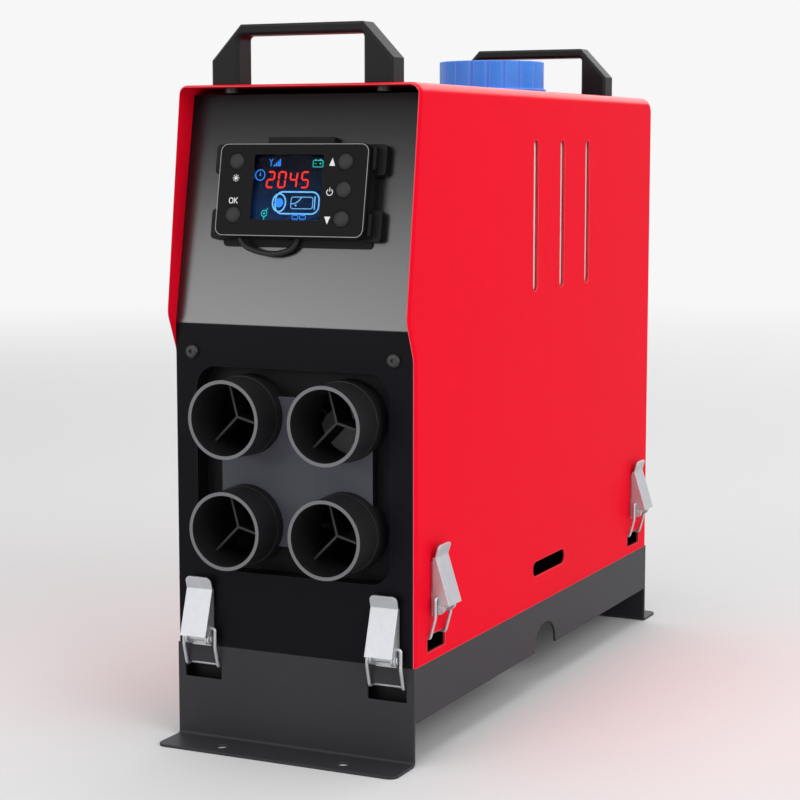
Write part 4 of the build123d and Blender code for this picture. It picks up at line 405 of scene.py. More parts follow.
def black_powder_coat(sheet, name, glossy_console=False):
    """Satin black coat of the panels. A sloped console gets glossier towards its fold."""
    finish = Finish(name)
    drift = finish.cloud(0.10, detail=3.0)
    flecks = finish.cloud(0.0012, detail=3.0, rough=0.6)
    tone = finish.mottled(sheet.black, 0.80, 1.25, drift)
    tone = finish.blend(tone, shade(sheet.black, 2.2), flecks.rise(0.58, 0.80) * 0.5)
    # Paler along the edges: painted highlight and wear.
    tone = finish.blend(tone, sheet.black_edge_sheen_and_wear, finish.corners(sheet.edge) * 0.5)
    coat = {}
    if glossy_console:
        sloped = finish.height().rise(CONSOLE_FOLD - CHANGE, CONSOLE_FOLD + CHANGE)
        gloss = sloped * finish.height().rise(*CONSOLE_GLOSS)
        coat = {"Coat_Weight": gloss, "Coat_Roughness": 0.26, "Coat_IOR": 1.8}
    return finish.surface(
        Base_Color=tone,
        Roughness=0.36 + drift * 0.07 + flecks * 0.05,
        Normal=finish.relief(finish.cloud(sheet.grain * 0.8), 16, sheet.edge),
        Specular_IOR_Level=0.08,
        **coat,
    )


def tray_powder_coat(sheet):
    """Greyer satin coat of the base tray, with painted shade darkening it inside, where little
    light gets in.
    """
    finish = Finish("tray_powder_coat")
    across, along = (abs(finish.part(finish.place(), axis)) for axis in "XY")
    wall = CHANGE / 2
    # Painted shade: inside the tray's walls the coat is darkened towards black.
    inside = (across.rise(TRAY_SIDE + wall, TRAY_SIDE - wall)
              * along.rise(TRAY_END + wall, TRAY_END - wall))
    drift = finish.cloud(0.06, detail=3.0)
    flecks = finish.cloud(0.0012, detail=3.0, rough=0.6)
    tone = finish.mottled(sheet.tray, 0.85, 1.2, drift)
    tone = finish.blend(tone, shade(sheet.tray, 1.9), flecks.rise(0.58, 0.80) * 0.4)
    # Paler along the edges: painted highlight and wear.
    tone = finish.blend(tone, sheet.black_edge_sheen_and_wear, finish.corners(sheet.edge) * 0.6)
    return finish.surface(
        Base_Color=finish.blend(tone, shade(sheet.black, 0.4), inside),
        Roughness=0.42 + drift * 0.07 + flecks * 0.05,
        Normal=finish.relief(finish.cloud(sheet.grain * 0.8), 16, sheet.edge),
        Specular_IOR_Level=0.20,
    )


def blackened_steel(metal):
    """Oiled black oxide with wear on its corners."""
    finish = Finish("blackened_steel")
    patch = finish.cloud(0.003, detail=4.0)
    edge = finish.corners(0.0004, gain=6.0)
    tone = finish.mottled(metal.screw, 0.7, 1.5, patch)
    return finish.surface(
        Base_Color=finish.blend(tone, WORN_STEEL, edge * patch),
        Metallic=edge * 0.6,
        Roughness=0.30 + patch * 0.18,
        Normal=finish.relief(finish.cloud(0.0005), 12, 0.0004),
    )


def black_moulding(moulding, name, roughness):
    """Black plastic with the fine eroded texture of its mould."""
    finish = Finish(name)
    pits = finish.cells(moulding.grain)
    drift = finish.cloud(0.05, detail=3.0)
    tone = finish.mottled(moulding.black, 0.85, 1.3, drift)
    return finish.surface(
        # Paler along the corners: painted edge highlight and wear.
        Base_Color=finish.blend(tone, shade(moulding.black, 2.4), finish.corners(0.0006) * 0.6),
        Roughness=roughness + drift * 0.06 + pits * 0.05,
        Normal=finish.relief(pits, 30, 0.0006),
        Specular_IOR_Level=0.16,
    )


def outlet_pad_moulding(moulding):
    """The outlet panel: black in its trough, with painted light making the raised pad's front face
    greyer.
    """
    finish = Finish("outlet_pad_moulding")
    pits = finish.cells(moulding.grain)
    drift = finish.cloud(0.04, detail=3.0)
    # Painted light on the raised pad's front face.
    raised = (finish.facing_front(0.7, 0.95)
              * finish.forward().rise(PAD_FRONT - 0.002, PAD_FRONT - 0.0008))
    tone = finish.mottled(moulding.black, 0.8, 1.3, drift)
    return finish.surface(
        Base_Color=finish.blend(tone, moulding.pad, raised * (0.75 + drift * 0.4)),
        Roughness=0.46 + drift * 0.08 + pits * 0.05,
        Normal=finish.relief(pits, 30, 0.0006),
        Specular_IOR_Level=0.16,
    )


def outlet_moulding(moulding):
    """The outlet tubes: satin black barrels lifted by painted light, paler front-facing ends, and a
    painted highlight on the vanes' front edges.
    """
    finish = Finish("outlet_moulding")
    drift = finish.cloud(0.03, detail=3.0)
    pits = finish.cells(moulding.grain * 0.8)
    turned = finish.cloud(0.0012, streak=(0.08, 1.0, 0.08))
    forward = finish.forward()
    at_rim = forward.rise(RIM_FRONT - 0.0012, RIM_FRONT - 0.0003)
    vane_edge_highlight = forward.rise(VANE_FRONT - 0.001, VANE_FRONT - 0.0003)
    behind_rim = forward.rise(RIM_FRONT - 0.002, RIM_FRONT - 0.004)
    # The vanes' front edges take a faint painted highlight.
    paler = finish.facing_front(0.55, 0.9) * (at_rim + vane_edge_highlight * behind_rim * 0.22)
    # Painted light: the barrels' black is lifted above the other mouldings' black.
    tone = finish.mottled(moulding.black, 1.5, 2.5, drift)
    return finish.surface(
        Base_Color=finish.blend(tone, moulding.rim, paler),
        Roughness=0.40 + drift * 0.10 + turned * 0.06,
        Normal=finish.relief(pits * 0.5 + turned, 20, 0.0005),
        Specular_IOR_Level=0.22,
    )


def face_moulding(moulding):
    """The controller's face: charcoal plastic with a finer, silkier texture."""
    finish = Finish("face_moulding")
    pits = finish.cells(moulding.grain * 0.6)
    drift = finish.cloud(0.02, detail=3.0)
    tone = finish.mottled(moulding.black, 0.6, 1.0, drift)
    return finish.surface(
        # Paler along the corners: painted edge highlight and wear.
        Base_Color=finish.blend(tone, shade(moulding.black, 3.5), finish.corners(0.0007) * 0.7),
        Roughness=0.38 + drift * 0.08,
        Normal=finish.relief(pits, 14, 0.0007),
        Specular_IOR_Level=0.08,
    )


def soft_rubber(moulding, name, roughness, lift=1.0, rounding=0.0005):
    """Matt rubber with a patchy dusty bloom. A wide rounding makes a flat key domed."""
    finish = Finish(name)
    bloom = finish.cloud(0.006, detail=4.0, rough=0.6)
    return finish.surface(
        Base_Color=finish.mottled(shade(moulding.rubber, lift), 0.8, 1.6, bloom),
        Roughness=roughness + bloom * 0.14,
        Normal=finish.relief(finish.cloud(0.0004), 20, rounding),
        Specular_IOR_Level=0.30,
    )


def filler_cap_plastic(moulding):
    """Glossy blue cap, slightly cloudy, with scuffs where hands turn it."""
    finish = Finish("filler_cap_plastic")
    cloudy = finish.cloud(0.012, detail=3.0)
    scuffs = finish.cloud(0.0012, detail=3.0, streak=(1.0, 1.0, 0.12))
    tone = finish.mottled(moulding.cap, 0.85, 1.15, cloudy)
    return finish.surface(
        # Painted highlight along the cap's rib edges.
        Base_Color=finish.blend(tone, CAP_EDGE_HIGHLIGHT, finish.corners(0.0013, gain=5.0) * 0.8),
        Roughness=0.28 + scuffs * 0.14,
        Normal=finish.relief(scuffs, 20, 0.0008),
        Specular_IOR_Level=0.30,
        Subsurface_Weight=0.08,
        Subsurface_Radius=(0.002, 0.004, 0.010),
    )


def milky_plastic(moulding):
    """Blown polyethylene that lets some light through."""
    finish = Finish("milky_plastic")
    cloudy = finish.cloud(0.03, detail=4.0)
    flow = finish.cloud(0.004, streak=(1.0, 1.0, 0.3))
    return finish.surface(
        # The tank's pink tint is a painted reflection of the red cover.
        Base_Color=finish.mottled(moulding.tank, 0.9, 1.08, cloudy),
        Roughness=0.42 + flow * 0.12,
        Normal=finish.relief(flow, 60, 0.001),
        Subsurface_Weight=0.25,
        Subsurface_Radius=(0.02, 0.015, 0.012),
    )


def bright_zinc(metal):
    """Zinc-plated spring steel: bright, faintly drawn lengthwise, with cloudy plating."""
    finish = Finish("bright_zinc")
    drawn = finish.cloud(0.0005, detail=3.0, streak=(1.0, 1.0, 0.04))
    plating = finish.cloud(0.005, detail=3.0, rough=0.6)
    tone = finish.mottled(metal.zinc, 0.80, 1.08, plating)
    tone = finish.blend(tone, DRAWN_ZINC, drawn * 0.35)
    return finish.surface(
        # Paler along the edges: wear and a painted glint.
        Base_Color=finish.blend(tone, ZINC_EDGE_WEAR_AND_GLINT, finish.corners(0.0005, gain=5.0) * 0.7),
        Metallic=1.0,
        Roughness=0.46 + plating * 0.08 + drawn * 0.08,
        Normal=finish.relief(drawn * 0.6 + plating, 20, 0.0005),
    )


def cast_metal(metal):
    """Sand-textured aluminium casting, darker where its skin is rougher."""
    finish = Finish("cast_metal")
    skin = finish.cells(0.0011)
    stain = finish.cloud(0.02, detail=4.0)
    tone = finish.mottled(metal.casting, 0.62, 1.05, stain)
    return finish.surface(
        Base_Color=finish.blend(tone, shade(metal.casting, 0.5), skin.rise(0.25, 0.0) * 0.4),
        Metallic=0.85 + stain * 0.15,
        Roughness=0.42 + skin * 0.25,
        Normal=finish.relief(skin, 120, 0.0008),
    )


def drawn_steel(metal, name, hot_height):
    """Steel tube and turned steel with rings of tool marks, straw-coloured where it runs hot."""
    finish = Finish(name)
    rings = finish.cloud(0.0006, streak=(0.1, 1.0, 1.0))
    stain = finish.cloud(0.012, detail=4.0, rough=0.6)
    heat = finish.height().rise(*hot_height) * stain.rise(0.35, 0.7)
    tone = finish.mottled(metal.steel, 0.78, 1.1, rings)
    return finish.surface(
        Base_Color=finish.blend(tone, STRAW, heat * 0.8),
        Metallic=1.0,
        Roughness=0.26 + stain * 0.16 + rings * 0.06,
        Normal=finish.relief(rings, 10, 0.0005),
    )


def fuel_hose_plastic(moulding):
    """Clear green hose, a little clouded by fuel."""
    finish = Finish("fuel_hose_plastic")
    cloudy = finish.cloud(0.01, detail=3.0)
    return finish.surface(
        Base_Color=finish.mottled(moulding.hose, 0.7, 1.5, cloudy),
        Roughness=0.22 + cloudy * 0.12,
        Normal=finish.relief(finish.cloud(0.0009), 20),
        Subsurface_Weight=0.15,
        Subsurface_Radius=(0.002, 0.006, 0.003),
    )


def board_resist():
    """Green solder resist over copper tracks, with bare pads."""
    finish = Finish("board_resist")
    copper = finish.cells(0.0032, feature="DISTANCE_TO_EDGE").rise(0.07, 0.03)
    pads = finish.cells(0.0026).rise(0.16, 0.10)
    return finish.surface(
        Base_Color=finish.blend(finish.blend(RESIST, COVERED_TRACK, copper), BARE_PAD, pads),
        Metallic=pads,
        Roughness=0.30 + finish.cloud(0.004) * 0.15,
        Normal=finish.relief(copper + pads, 30),
    )


def screen_backing():
    """Near-black screen that glows a little towards navy at its foot."""
    finish = Finish("screen_backing")
    glow = finish.height().rise(*SCREEN_GLOW) * (0.6 + finish.cloud(0.010) * 0.6)
    grid = finish.cloud(0.0006, detail=0.0)
    return finish.surface(
        Base_Color=finish.blend(SCREEN_BLACK, SCREEN_NAVY, glow),
        Roughness=0.30 + grid * 0.10,
        Specular_IOR_Level=0.05,
        Emission_Color=finish.blend(UNLIT, NAVY_LIGHT, glow),
        Emission_Strength=0.7,
        Normal=finish.relief(grid, 4),
    )


def screen_window():
    """Clear acrylic window with faint wipe marks."""
    finish = Finish("screen_window")
    wipes = finish.cloud(0.003, detail=4.0, streak=(0.25, 1.0, 1.0))
    return finish.surface(
        Base_Color=finish.blend(WIPED, CLEAR, wipes),
        Roughness=0.015 + wipes.rise(0.5, 0.8) * 0.05,
        Transmission_Weight=1.0,
        IOR=1.06,
        Normal=finish.relief(wipes, 3, 0.0004),
    )


def printed_ink(name, colour):
    """Screen-printed ink, slightly thin in places."""
    finish = Finish(name)
    thin = finish.cloud(0.0008, detail=3.0)
    return finish.surface(
        Base_Color=finish.blend(shade(colour, 0.78), colour, thin.rise(0.25, 0.6)),
        Roughness=0.50 + thin * 0.15,
        Normal=finish.relief(thin, 8),
    )


def lit_symbol(name, colour, glow):
    """A lit part of the screen, made of fine dots, brighter at its middle."""
    finish = Finish(name)
    dots = finish.cells(0.00045).rise(0.75, 0.15)
    unevenness = finish.cloud(0.004)
    return finish.surface(
        Base_Color=finish.mottled(colour, 0.2, 0.4, dots),
        Roughness=0.4 + unevenness * 0.1,
        Specular_IOR_Level=0.05,
        Emission_Color=finish.mottled(colour, 0.55, 1.0, dots * 0.6 + unevenness * 0.5),
        Emission_Strength=glow,
    )


def dress(finish, *names):
    """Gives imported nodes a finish, on the objects and not on their meshes."""
    for name in names:
        for place in frame["nodes"][name].material_slots:
            place.link = "OBJECT"
            place.material = finish


def nodes_like(start):
    """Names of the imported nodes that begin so."""
    return sorted(name for name in frame["nodes"] if name.startswith(start))


def add_object(name, data):
    """Puts a new object into the scene."""
    added = bpy.data.objects.new(name, data)
    bpy.context.scene.collection.objects.link(added)
    return added


# Artwork on the leaning console


class Console:
    """The controller's face: its middle, and the ways across, up and out of it."""

    def __init__(self):
        face = frame["nodes"]["control_face"].data
        outward = (flat for flat in face.polygons if flat.normal.y < -0.5)
        self.across = Vector((1.0, 0.0, 0.0))
        self.out = max(outward, key=lambda flat: flat.area).normal.normalized()
        self.up = self.out.cross(self.across)
        spans = []
        for way in (self.across, self.up, self.out):
            reach = [vertex.co.dot(way) for vertex in face.vertices]
            spans.append((min(reach), max(reach)))
        middles = [(low + high) / 2 for low, high in spans]
        self.width, self.height = ((high - low) / MM for low, high in spans[:2])
        self.middle = self.across * middles[0] + self.up * middles[1] + self.out * spans[2][1]

    def point(self, across, up, out):
        """A point given in millimetres from the middle of the face's front."""
        return self.middle + (self.across * across + self.up * up + self.out * out) * MM


def bend(middle, radius, start, turn, steps, squash=1.0):
    """Points along a round. Start and turn are in degrees, counted from the right."""
    angles = [math.radians(start + turn * step / steps) for step in range(steps + 1)]
    return [(middle[0] + radius * math.cos(angle) * squash, middle[1] + radius * math.sin(angle))
            for angle in angles]


class Artwork:
    """Flat marks in millimetres on the controller's face, gathered into one thin piece."""

    shortest_mitre = 0.5  # keeps the mitre of a sharp corner from running far out

    def __init__(self):
        self.mesh = bmesh.new()

    def patch(self, points):
        """A filled outline."""
        self.mesh.faces.new([self.mesh.verts.new((x, y, 0.0)) for x, y in points])

    def line(self, points, width, closed=False):
        """A stroke of even width with mitred corners."""
        points = [Vector(point) for point in points]
        count = len(points)
        pairs = []
        for index, point in enumerate(points):
            before = points[index - 1] if closed or index else None
            after = points[(index + 1) % count] if closed or index < count - 1 else None
            away = (after - point).normalized() if after is not None else None
            into = (point - before).normalized() if before is not None else away
            away = into if away is None else away
            side = Vector((-(into.y + away.y), into.x + away.x)).normalized()
            along = max(self.shortest_mitre, side.dot(Vector((-into.y, into.x))))
            reach = width / 2 / along
            pairs.append([self.mesh.verts.new((*(point + side * way), 0.0))
                          for way in (reach, -reach)])
        if closed:
            pairs.append(pairs[0])
        for first, second in zip(pairs, pairs[1:]):
            self.mesh.faces.new((first[0], first[1], second[1], second[0]))

    def arc(self, middle, radius, width, start=0.0, turn=360.0, steps=28, squash=1.0):
        """A ring, or part of one, counted in degrees from the right."""
        whole = abs(turn) >= 360.0
        points = bend(middle, radius, start, turn, steps, squash)
        self.line(points[:-1] if whole else points, width, closed=whole)

    def disc(self, middle, radius, steps=20):
        """A filled round."""
        self.patch(bend(middle, radius, 0.0, 360.0, steps)[:-1])

    def frame(self, left, bottom, right, top, corner, width, steps=6):
        """The outline of a rectangle with rounded corners."""
        points = []
        centres = ((right - corner, top - corner), (left + corner, top - corner),
                   (left + corner, bottom + corner), (right - corner, bottom + corner))
        for quarter, centre in enumerate(centres):
            points += bend(centre, corner, 90 * quarter, 90, steps)
        self.line(points, width, closed=True)

    def lay(self, name, console, height, thickness, finish):
        """Sets the marks on the console, height millimetres out from the face, as one piece."""
        raised = bmesh.ops.extrude_face_region(self.mesh, geom=self.mesh.faces[:])
        for part in raised["geom"]:
            if isinstance(part, bmesh.types.BMVert):
                part.co.z += thickness
        for vertex in self.mesh.verts:
            vertex.co = console.point(vertex.co.x, vertex.co.y, vertex.co.z + height)
        bmesh.ops.recalc_face_normals(self.mesh, faces=self.mesh.faces[:])
        mesh = bpy.data.meshes.new(name)
        self.mesh.to_mesh(mesh)
        self.mesh.free()
        mesh.materials.append(finish)
        piece = add_object(name, mesh)
        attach(piece, "case")


SEGMENTS = {
    "0": "abcdef", "1": "bc", "2": "abged", "3": "abgcd", "4": "fgbc",
    "5": "afgcd", "6": "afgedc", "7": "abc", "8": "abcdefg", "9": "abcdfg",
}


def draw_figure(art, figure, left, bottom, width, height, stroke, slant):
    """One seven-bar figure, leaning by slant."""
    gap = stroke * 0.16
    half = stroke / 2
    middle = bottom + height / 2
    top, right = bottom + height, left + width
    levels = {"a": top - half, "g": middle, "d": bottom + half}
    uprights = {"b": (right - half, middle, top), "c": (right - half, bottom, middle),
                "f": (left + half, middle, top), "e": (left + half, bottom, middle)}
    for bar in SEGMENTS[figure]:
        if bar in levels:
            y, tip, flat = levels[bar], half + gap, stroke + gap
            shape = [(left + tip, y), (left + flat, y - half), (right - flat, y - half),
                     (right - tip, y), (right - flat, y + half), (left + flat, y + half)]
        else:
            x, low, high = uprights[bar]
            low += gap + (half if low == bottom else 0)
            high -= gap + (half if high == top else 0)
            shape = [(x, low), (x + half, low + half), (x + half, high - half),
                     (x, high), (x - half, high - half), (x - half, low + half)]
        art.patch([(x + (y - bottom) * slant, y) for x, y in shape])


# Pieces


class HEATER_OT_camera(bpy.types.Operator):
    """Sets the camera at the photograph's angle."""

    bl_idname = "heater.camera"
    bl_label = "Camera"

    def execute(self, context):
        settings = context.scene.heater.camera
        data = bpy.data.cameras.new("photo_camera")
        data.lens = settings.lens
        camera = add_object("photo_camera", data)
        camera.location = settings.place
        camera.rotation_euler = Euler((math.pi / 2 - settings.dip, 0.0, settings.heading))
        context.scene.camera = camera
        return {"FINISHED"}


class HEATER_OT_control_lead(bpy.types.Operator):
    """Lays the short lead that loops below the controller and goes back through the console."""

    bl_idname = "heater.control_lead"
    bl_label = "Control lead"

    def execute(self, context):
        settings = context.scene.heater.controller
        console = Console()
        points = [console.point(across, up, out - FACE_FRONT) for across, up, out in LEAD_ROUTE]
        curve = bpy.data.curves.new("lead_cable", "CURVE")
        curve.dimensions = "3D"
        curve.bevel_depth = settings.lead_diameter / 2
        curve.bevel_resolution = 5
        curve.resolution_u = 16
        curve.use_fill_caps = True
        spline = curve.splines.new("NURBS")
        spline.points.add(len(points) - 1)
        for target, point in zip(spline.points, points):
            target.co = (*point, 1.0)
        spline.order_u = 3
        spline.use_endpoint_u = True
        curve.materials.append(soft_rubber(context.scene.heater.moulding, "lead_rubber", 0.44, 0.8))
        cable = add_object("lead_cable", curve)
        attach(cable, "case")
        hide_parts("control_lead")
        return {"FINISHED"}


class HEATER_OT_sheet_parts(bpy.types.Operator):
    """Coats the red cover and the black panels, tray, shelf and bracket."""

    bl_idname = "heater.sheet_parts"
    bl_label = "Sheet parts"

    def execute(self, context):
        sheet = context.scene.heater.sheet
        dress(red_powder_coat(sheet), "outer_cover")
        dress(black_powder_coat(sheet, "console_powder_coat", glossy_console=True), "front_panel")
        dress(black_powder_coat(sheet, "black_powder_coat"),
              "rear_panel", "tank_shelf", "core_bracket")
        dress(tray_powder_coat(sheet), "base_tray")
        return {"FINISHED"}


class HEATER_OT_outlets(bpy.types.Operator):
    """Finishes the outlet panel, its tubes and the duct behind them."""

    bl_idname = "heater.outlets"
    bl_label = "Air outlets"

    def execute(self, context):
        moulding = context.scene.heater.moulding
        dress(outlet_moulding(moulding), "outlet_tubes")
        dress(outlet_pad_moulding(moulding), "outlet_manifold")
        dress(black_moulding(moulding, "duct_moulding", 0.46), "air_duct")
        return {"FINISHED"}


class HEATER_OT_handles(bpy.types.Operator):
    """Finishes the two carrying handles and the power gland."""

    bl_idname = "heater.handles"
    bl_label = "Handles"

    def execute(self, context):
        moulding = context.scene.heater.moulding
        dress(black_moulding(moulding, "handle_moulding", 0.40), "handles", "power_gland")
        return {"FINISHED"}


class HEATER_OT_latches(bpy.types.Operator):
    """Plates the six toggle latches, their bails, plates and rivets."""

    bl_idname = "heater.latches"
    bl_label = "Latches"

    def execute(self, context):
        dress(bright_zinc(context.scene.heater.metal), *nodes_like("latch_"))
        return {"FINISHED"}


class HEATER_OT_fasteners(bpy.types.Operator):
    """Blackens the screws and the intake grille."""

    bl_idname = "heater.fasteners"
    bl_label = "Screws and grille"

    def execute(self, context):
        dress(blackened_steel(context.scene.heater.metal),
              "panel_screws", "handle_screws", "intake_grille")
        return {"FINISHED"}


class HEATER_OT_fuel_parts(bpy.types.Operator):
    """Finishes the tank, its cap and seal, the fuel lines and the pump."""

    bl_idname = "heater.fuel_parts"
    bl_label = "Fuel parts"

    def execute(self, context):
        moulding, metal = context.scene.heater.moulding, context.scene.heater.metal
        dress(milky_plastic(moulding), "fuel_tank")
        dress(filler_cap_plastic(moulding), "fuel_cap")
        dress(fuel_hose_plastic(moulding), "fuel_lines")
        dress(soft_rubber(moulding, "seal_rubber", 0.55), "cap_seal", "pump_clip", "lead_grommet")
        dress(drawn_steel(metal, "pump_steel", NO_HEAT), "fuel_pump", "pump_plunger")
        return {"FINISHED"}


class HEATER_OT_burner_parts(bpy.types.Operator):
    """Finishes the heater core: castings, burner, fan, motor, pipes and its plastic case."""

    bl_idname = "heater.burner_parts"
    bl_label = "Burner and fan"

    def execute(self, context):
        moulding, metal = context.scene.heater.moulding, context.scene.heater.metal
        dress(cast_metal(metal), "heat_exchanger", "combustion_wheel")
        dress(drawn_steel(metal, "drawn_steel", STRAW_HEAT), "burner_tube", "glow_plug",
              "exhaust_pipe", "inlet_pipe", "drive_shaft", "blower_motor")
        dress(black_moulding(moulding, "core_moulding", 0.55), "heater_case_upper",
              "heater_case_lower", "fan_wheel", "control_unit")
        return {"FINISHED"}


class HEATER_OT_controller(bpy.types.Operator):
    """Finishes the controller's shells, keys, board, screen and window."""

    bl_idname = "heater.controller"
    bl_label = "Controller"

    def execute(self, context):
        moulding = context.scene.heater.moulding
        dress(face_moulding(moulding), "control_face")
        dress(black_moulding(moulding, "cradle_moulding", 0.48), "control_back", "control_cradle")
        dress(soft_rubber(moulding, "key_rubber", 0.42, 1.1, 0.0042), *nodes_like("button_"))
        dress(board_resist(), "circuit_board")
        dress(screen_backing(), "display_module")
        dress(screen_window(), "display_lens")
        return {"FINISHED"}


class HEATER_OT_key_marks(bpy.types.Operator):
    """Prints the marks beside the keys and the fine line round the controller's face."""

    bl_idname = "heater.key_marks"
    bl_label = "Key marks"

    line_inset = 0.75  # millimetres from the face's edge to the fine line
    line_corner = 4.3
    line_stroke = 0.34
    ray_stroke = 0.42
    letter_stroke = 0.48
    power_stroke = 0.46

    def execute(self, context):
        settings = context.scene.heater.controller
        console = Console()
        thickness = settings.ink_height / MM
        ink = Artwork()
        self.draw_sun(ink, (-34.8, 6.4))
        self.draw_ok(ink, (-35.25, -6.1))
        ink.patch([(22.4, 13.3), (26.0, 13.3), (24.2, 17.6)])  # beside the up key
        ink.patch([(25.5, -14.3), (21.9, -14.3), (23.7, -18.6)])  # beside the down key
        self.draw_power(ink, (23.9, -1.0))
        ink.lay("key_marks", console, 0.0, thickness, printed_ink("key_ink", settings.ink))
        border = Artwork()
        right = console.width / 2 - self.line_inset
        top = console.height / 2 - self.line_inset
        border.frame(-right, -top, right, top, self.line_corner, self.line_stroke)
        border.lay("face_line", console, 0.0, thickness, printed_ink("border_ink", settings.line))
        return {"FINISHED"}

    def draw_sun(self, ink, middle):
        """A small sun, for the settings key."""
        ink.disc(middle, 0.95)
        for step in range(8):
            angle = math.radians(45 * step)
            way = Vector((math.cos(angle), math.sin(angle)))
            ink.line([Vector(middle) + way * 1.25, Vector(middle) + way * 2.05], self.ray_stroke)

    def draw_ok(self, ink, middle):
        """The letters OK."""
        x, y = middle
        stroke = self.letter_stroke
        ink.frame(x - 2.65, y - 1.4, x - 0.35, y + 1.4, 0.9, stroke, steps=4)
        ink.line([(x + 0.55, y - 1.62), (x + 0.55, y + 1.62)], stroke)
        ink.line([(x + 2.5, y + 1.62), (x + 0.85, y)], stroke)
        ink.line([(x + 1.05, y + 0.15), (x + 2.6, y - 1.62)], stroke)

    def draw_power(self, ink, middle):
        """A broken ring with a bar, for the power key."""
        x, y = middle
        ink.arc(middle, 1.75, self.power_stroke, start=125, turn=290, steps=24)
        ink.line([(x, y + 0.3), (x, y + 2.5)], self.power_stroke)


class HEATER_OT_screen(bpy.types.Operator):
    """Lights the figures and symbols behind the controller's window."""

    bl_idname = "heater.screen"
    bl_label = "Screen"

    depth = -3.17  # millimetres in from the face, between the screen and its window
    shift = -1.05  # millimetres to the left, so that the window's edge hides nothing at the right
    thickness = 0.10
    outlet = (-7.2, -6.6)  # middle of the drawn heater's round outlet
    figure = {"bottom": 1.4, "width": 5.0, "height": 9.4, "stroke": 0.95, "slant": 0.07}
    figure_start = -16.4  # left edge of the first figure
    figure_pitch = 7.1

    def execute(self, context):
        settings = context.scene.heater.controller
        if not settings.digits.isdigit():
            raise RuntimeError("the screen shows only figures")
        self.console = Console()
        glow = settings.glow
        self.figures(settings.digits, lit_symbol("lit_red", settings.red, glow * 1.25))
        self.heater(lit_symbol("lit_blue", settings.blue, glow))
        self.signal_and_clock(lit_symbol("lit_deep_blue", settings.deep_blue, glow * 1.2))
        self.battery_and_pump(lit_symbol("lit_teal", settings.teal, glow))
        return {"FINISHED"}

    def lay(self, art, name, finish):
        """Sets one colour's marks between the screen and its window."""
        for vertex in art.mesh.verts:
            vertex.co.x += self.shift
        art.lay(name, self.console, self.depth, self.thickness, finish)

    def figures(self, digits, finish):
        """Seven-bar figures in a row."""
        art = Artwork()
        for index, figure in enumerate(digits):
            left = self.figure_start + index * self.figure_pitch
            draw_figure(art, figure, left, **self.figure)
        self.lay(art, "screen_figures", finish)

    def heater(self, finish):
        """A plain rounded air heater seen from its side, with a round outlet at its left."""
        art = Artwork()
        art.frame(-9.5, -12.6, 17.4, -0.6, 4.4, 0.85)
        art.arc(self.outlet, 4.9, 0.85, squash=0.82)
        art.frame(0.2, -9.8, 13.6, -3.4, 1.2, 0.4, steps=3)
        art.arc((0.2, -1.0), 6.2, 0.5, start=270, turn=70, squash=1.1)
        art.line([(14.8, -10.2), (14.8, -3.0)], 0.7)
        art.disc((3.2, -8.0), 0.55, steps=12)
        self.lay(art, "screen_heater", finish)

    def signal_and_clock(self, finish):
        """Rising signal bars with their mast, a small clock, the heater's outlet and its feet."""
        art = Artwork()
        foot, width = 13.5, 0.75
        for index in range(4):
            left, top = -12.3 + index * 1.15, foot + 0.9 + index
            art.patch([(left, foot), (left + width, foot), (left + width, top), (left, top)])
        art.line([(-15.2, 17.6), (-14.05, 16.0), (-12.9, 17.6)], 0.4)
        art.line([(-14.05, 16.2), (-14.05, 13.5)], 0.45)
        clock = (-20.3, 8.6)
        art.arc(clock, 2.9, 0.5)
        art.disc(clock, 0.5, steps=12)
        art.line([clock, (-20.3, 10.3)], 0.3)
        art.disc(self.outlet, 2.6)
        for left in (1.6, 6.2):
            art.frame(left, -15.4, left + 3.6, -13.5, 0.4, 0.4, steps=2)
        self.lay(art, "screen_signal", finish)

    def battery_and_pump(self, finish):
        """A battery with its two posts, and a small fuel pump."""
        art = Artwork()
        art.frame(12.0, 13.2, 18.0, 16.7, 0.4, 0.4, steps=2)
        for left in (12.9, 15.8):
            art.line([(left, 17.2), (left + 1.3, 17.2)], 0.4)
        art.line([(12.9, 15.0), (14.2, 15.0)], 0.34)
        art.line([(15.8, 15.0), (17.1, 15.0)], 0.34)
        art.line([(16.45, 14.35), (16.45, 15.65)], 0.34)
        pump = (-16.0, -12.6)
        art.arc(pump, 1.7, 0.5)
        art.disc(pump, 0.6, steps=12)
        art.line([(-16.0, -14.5), (-16.0, -16.2)], 0.5)
        art.line([(-14.9, -11.1), (-13.9, -9.7)], 0.5)
        self.lay(art, "screen_battery", finish)


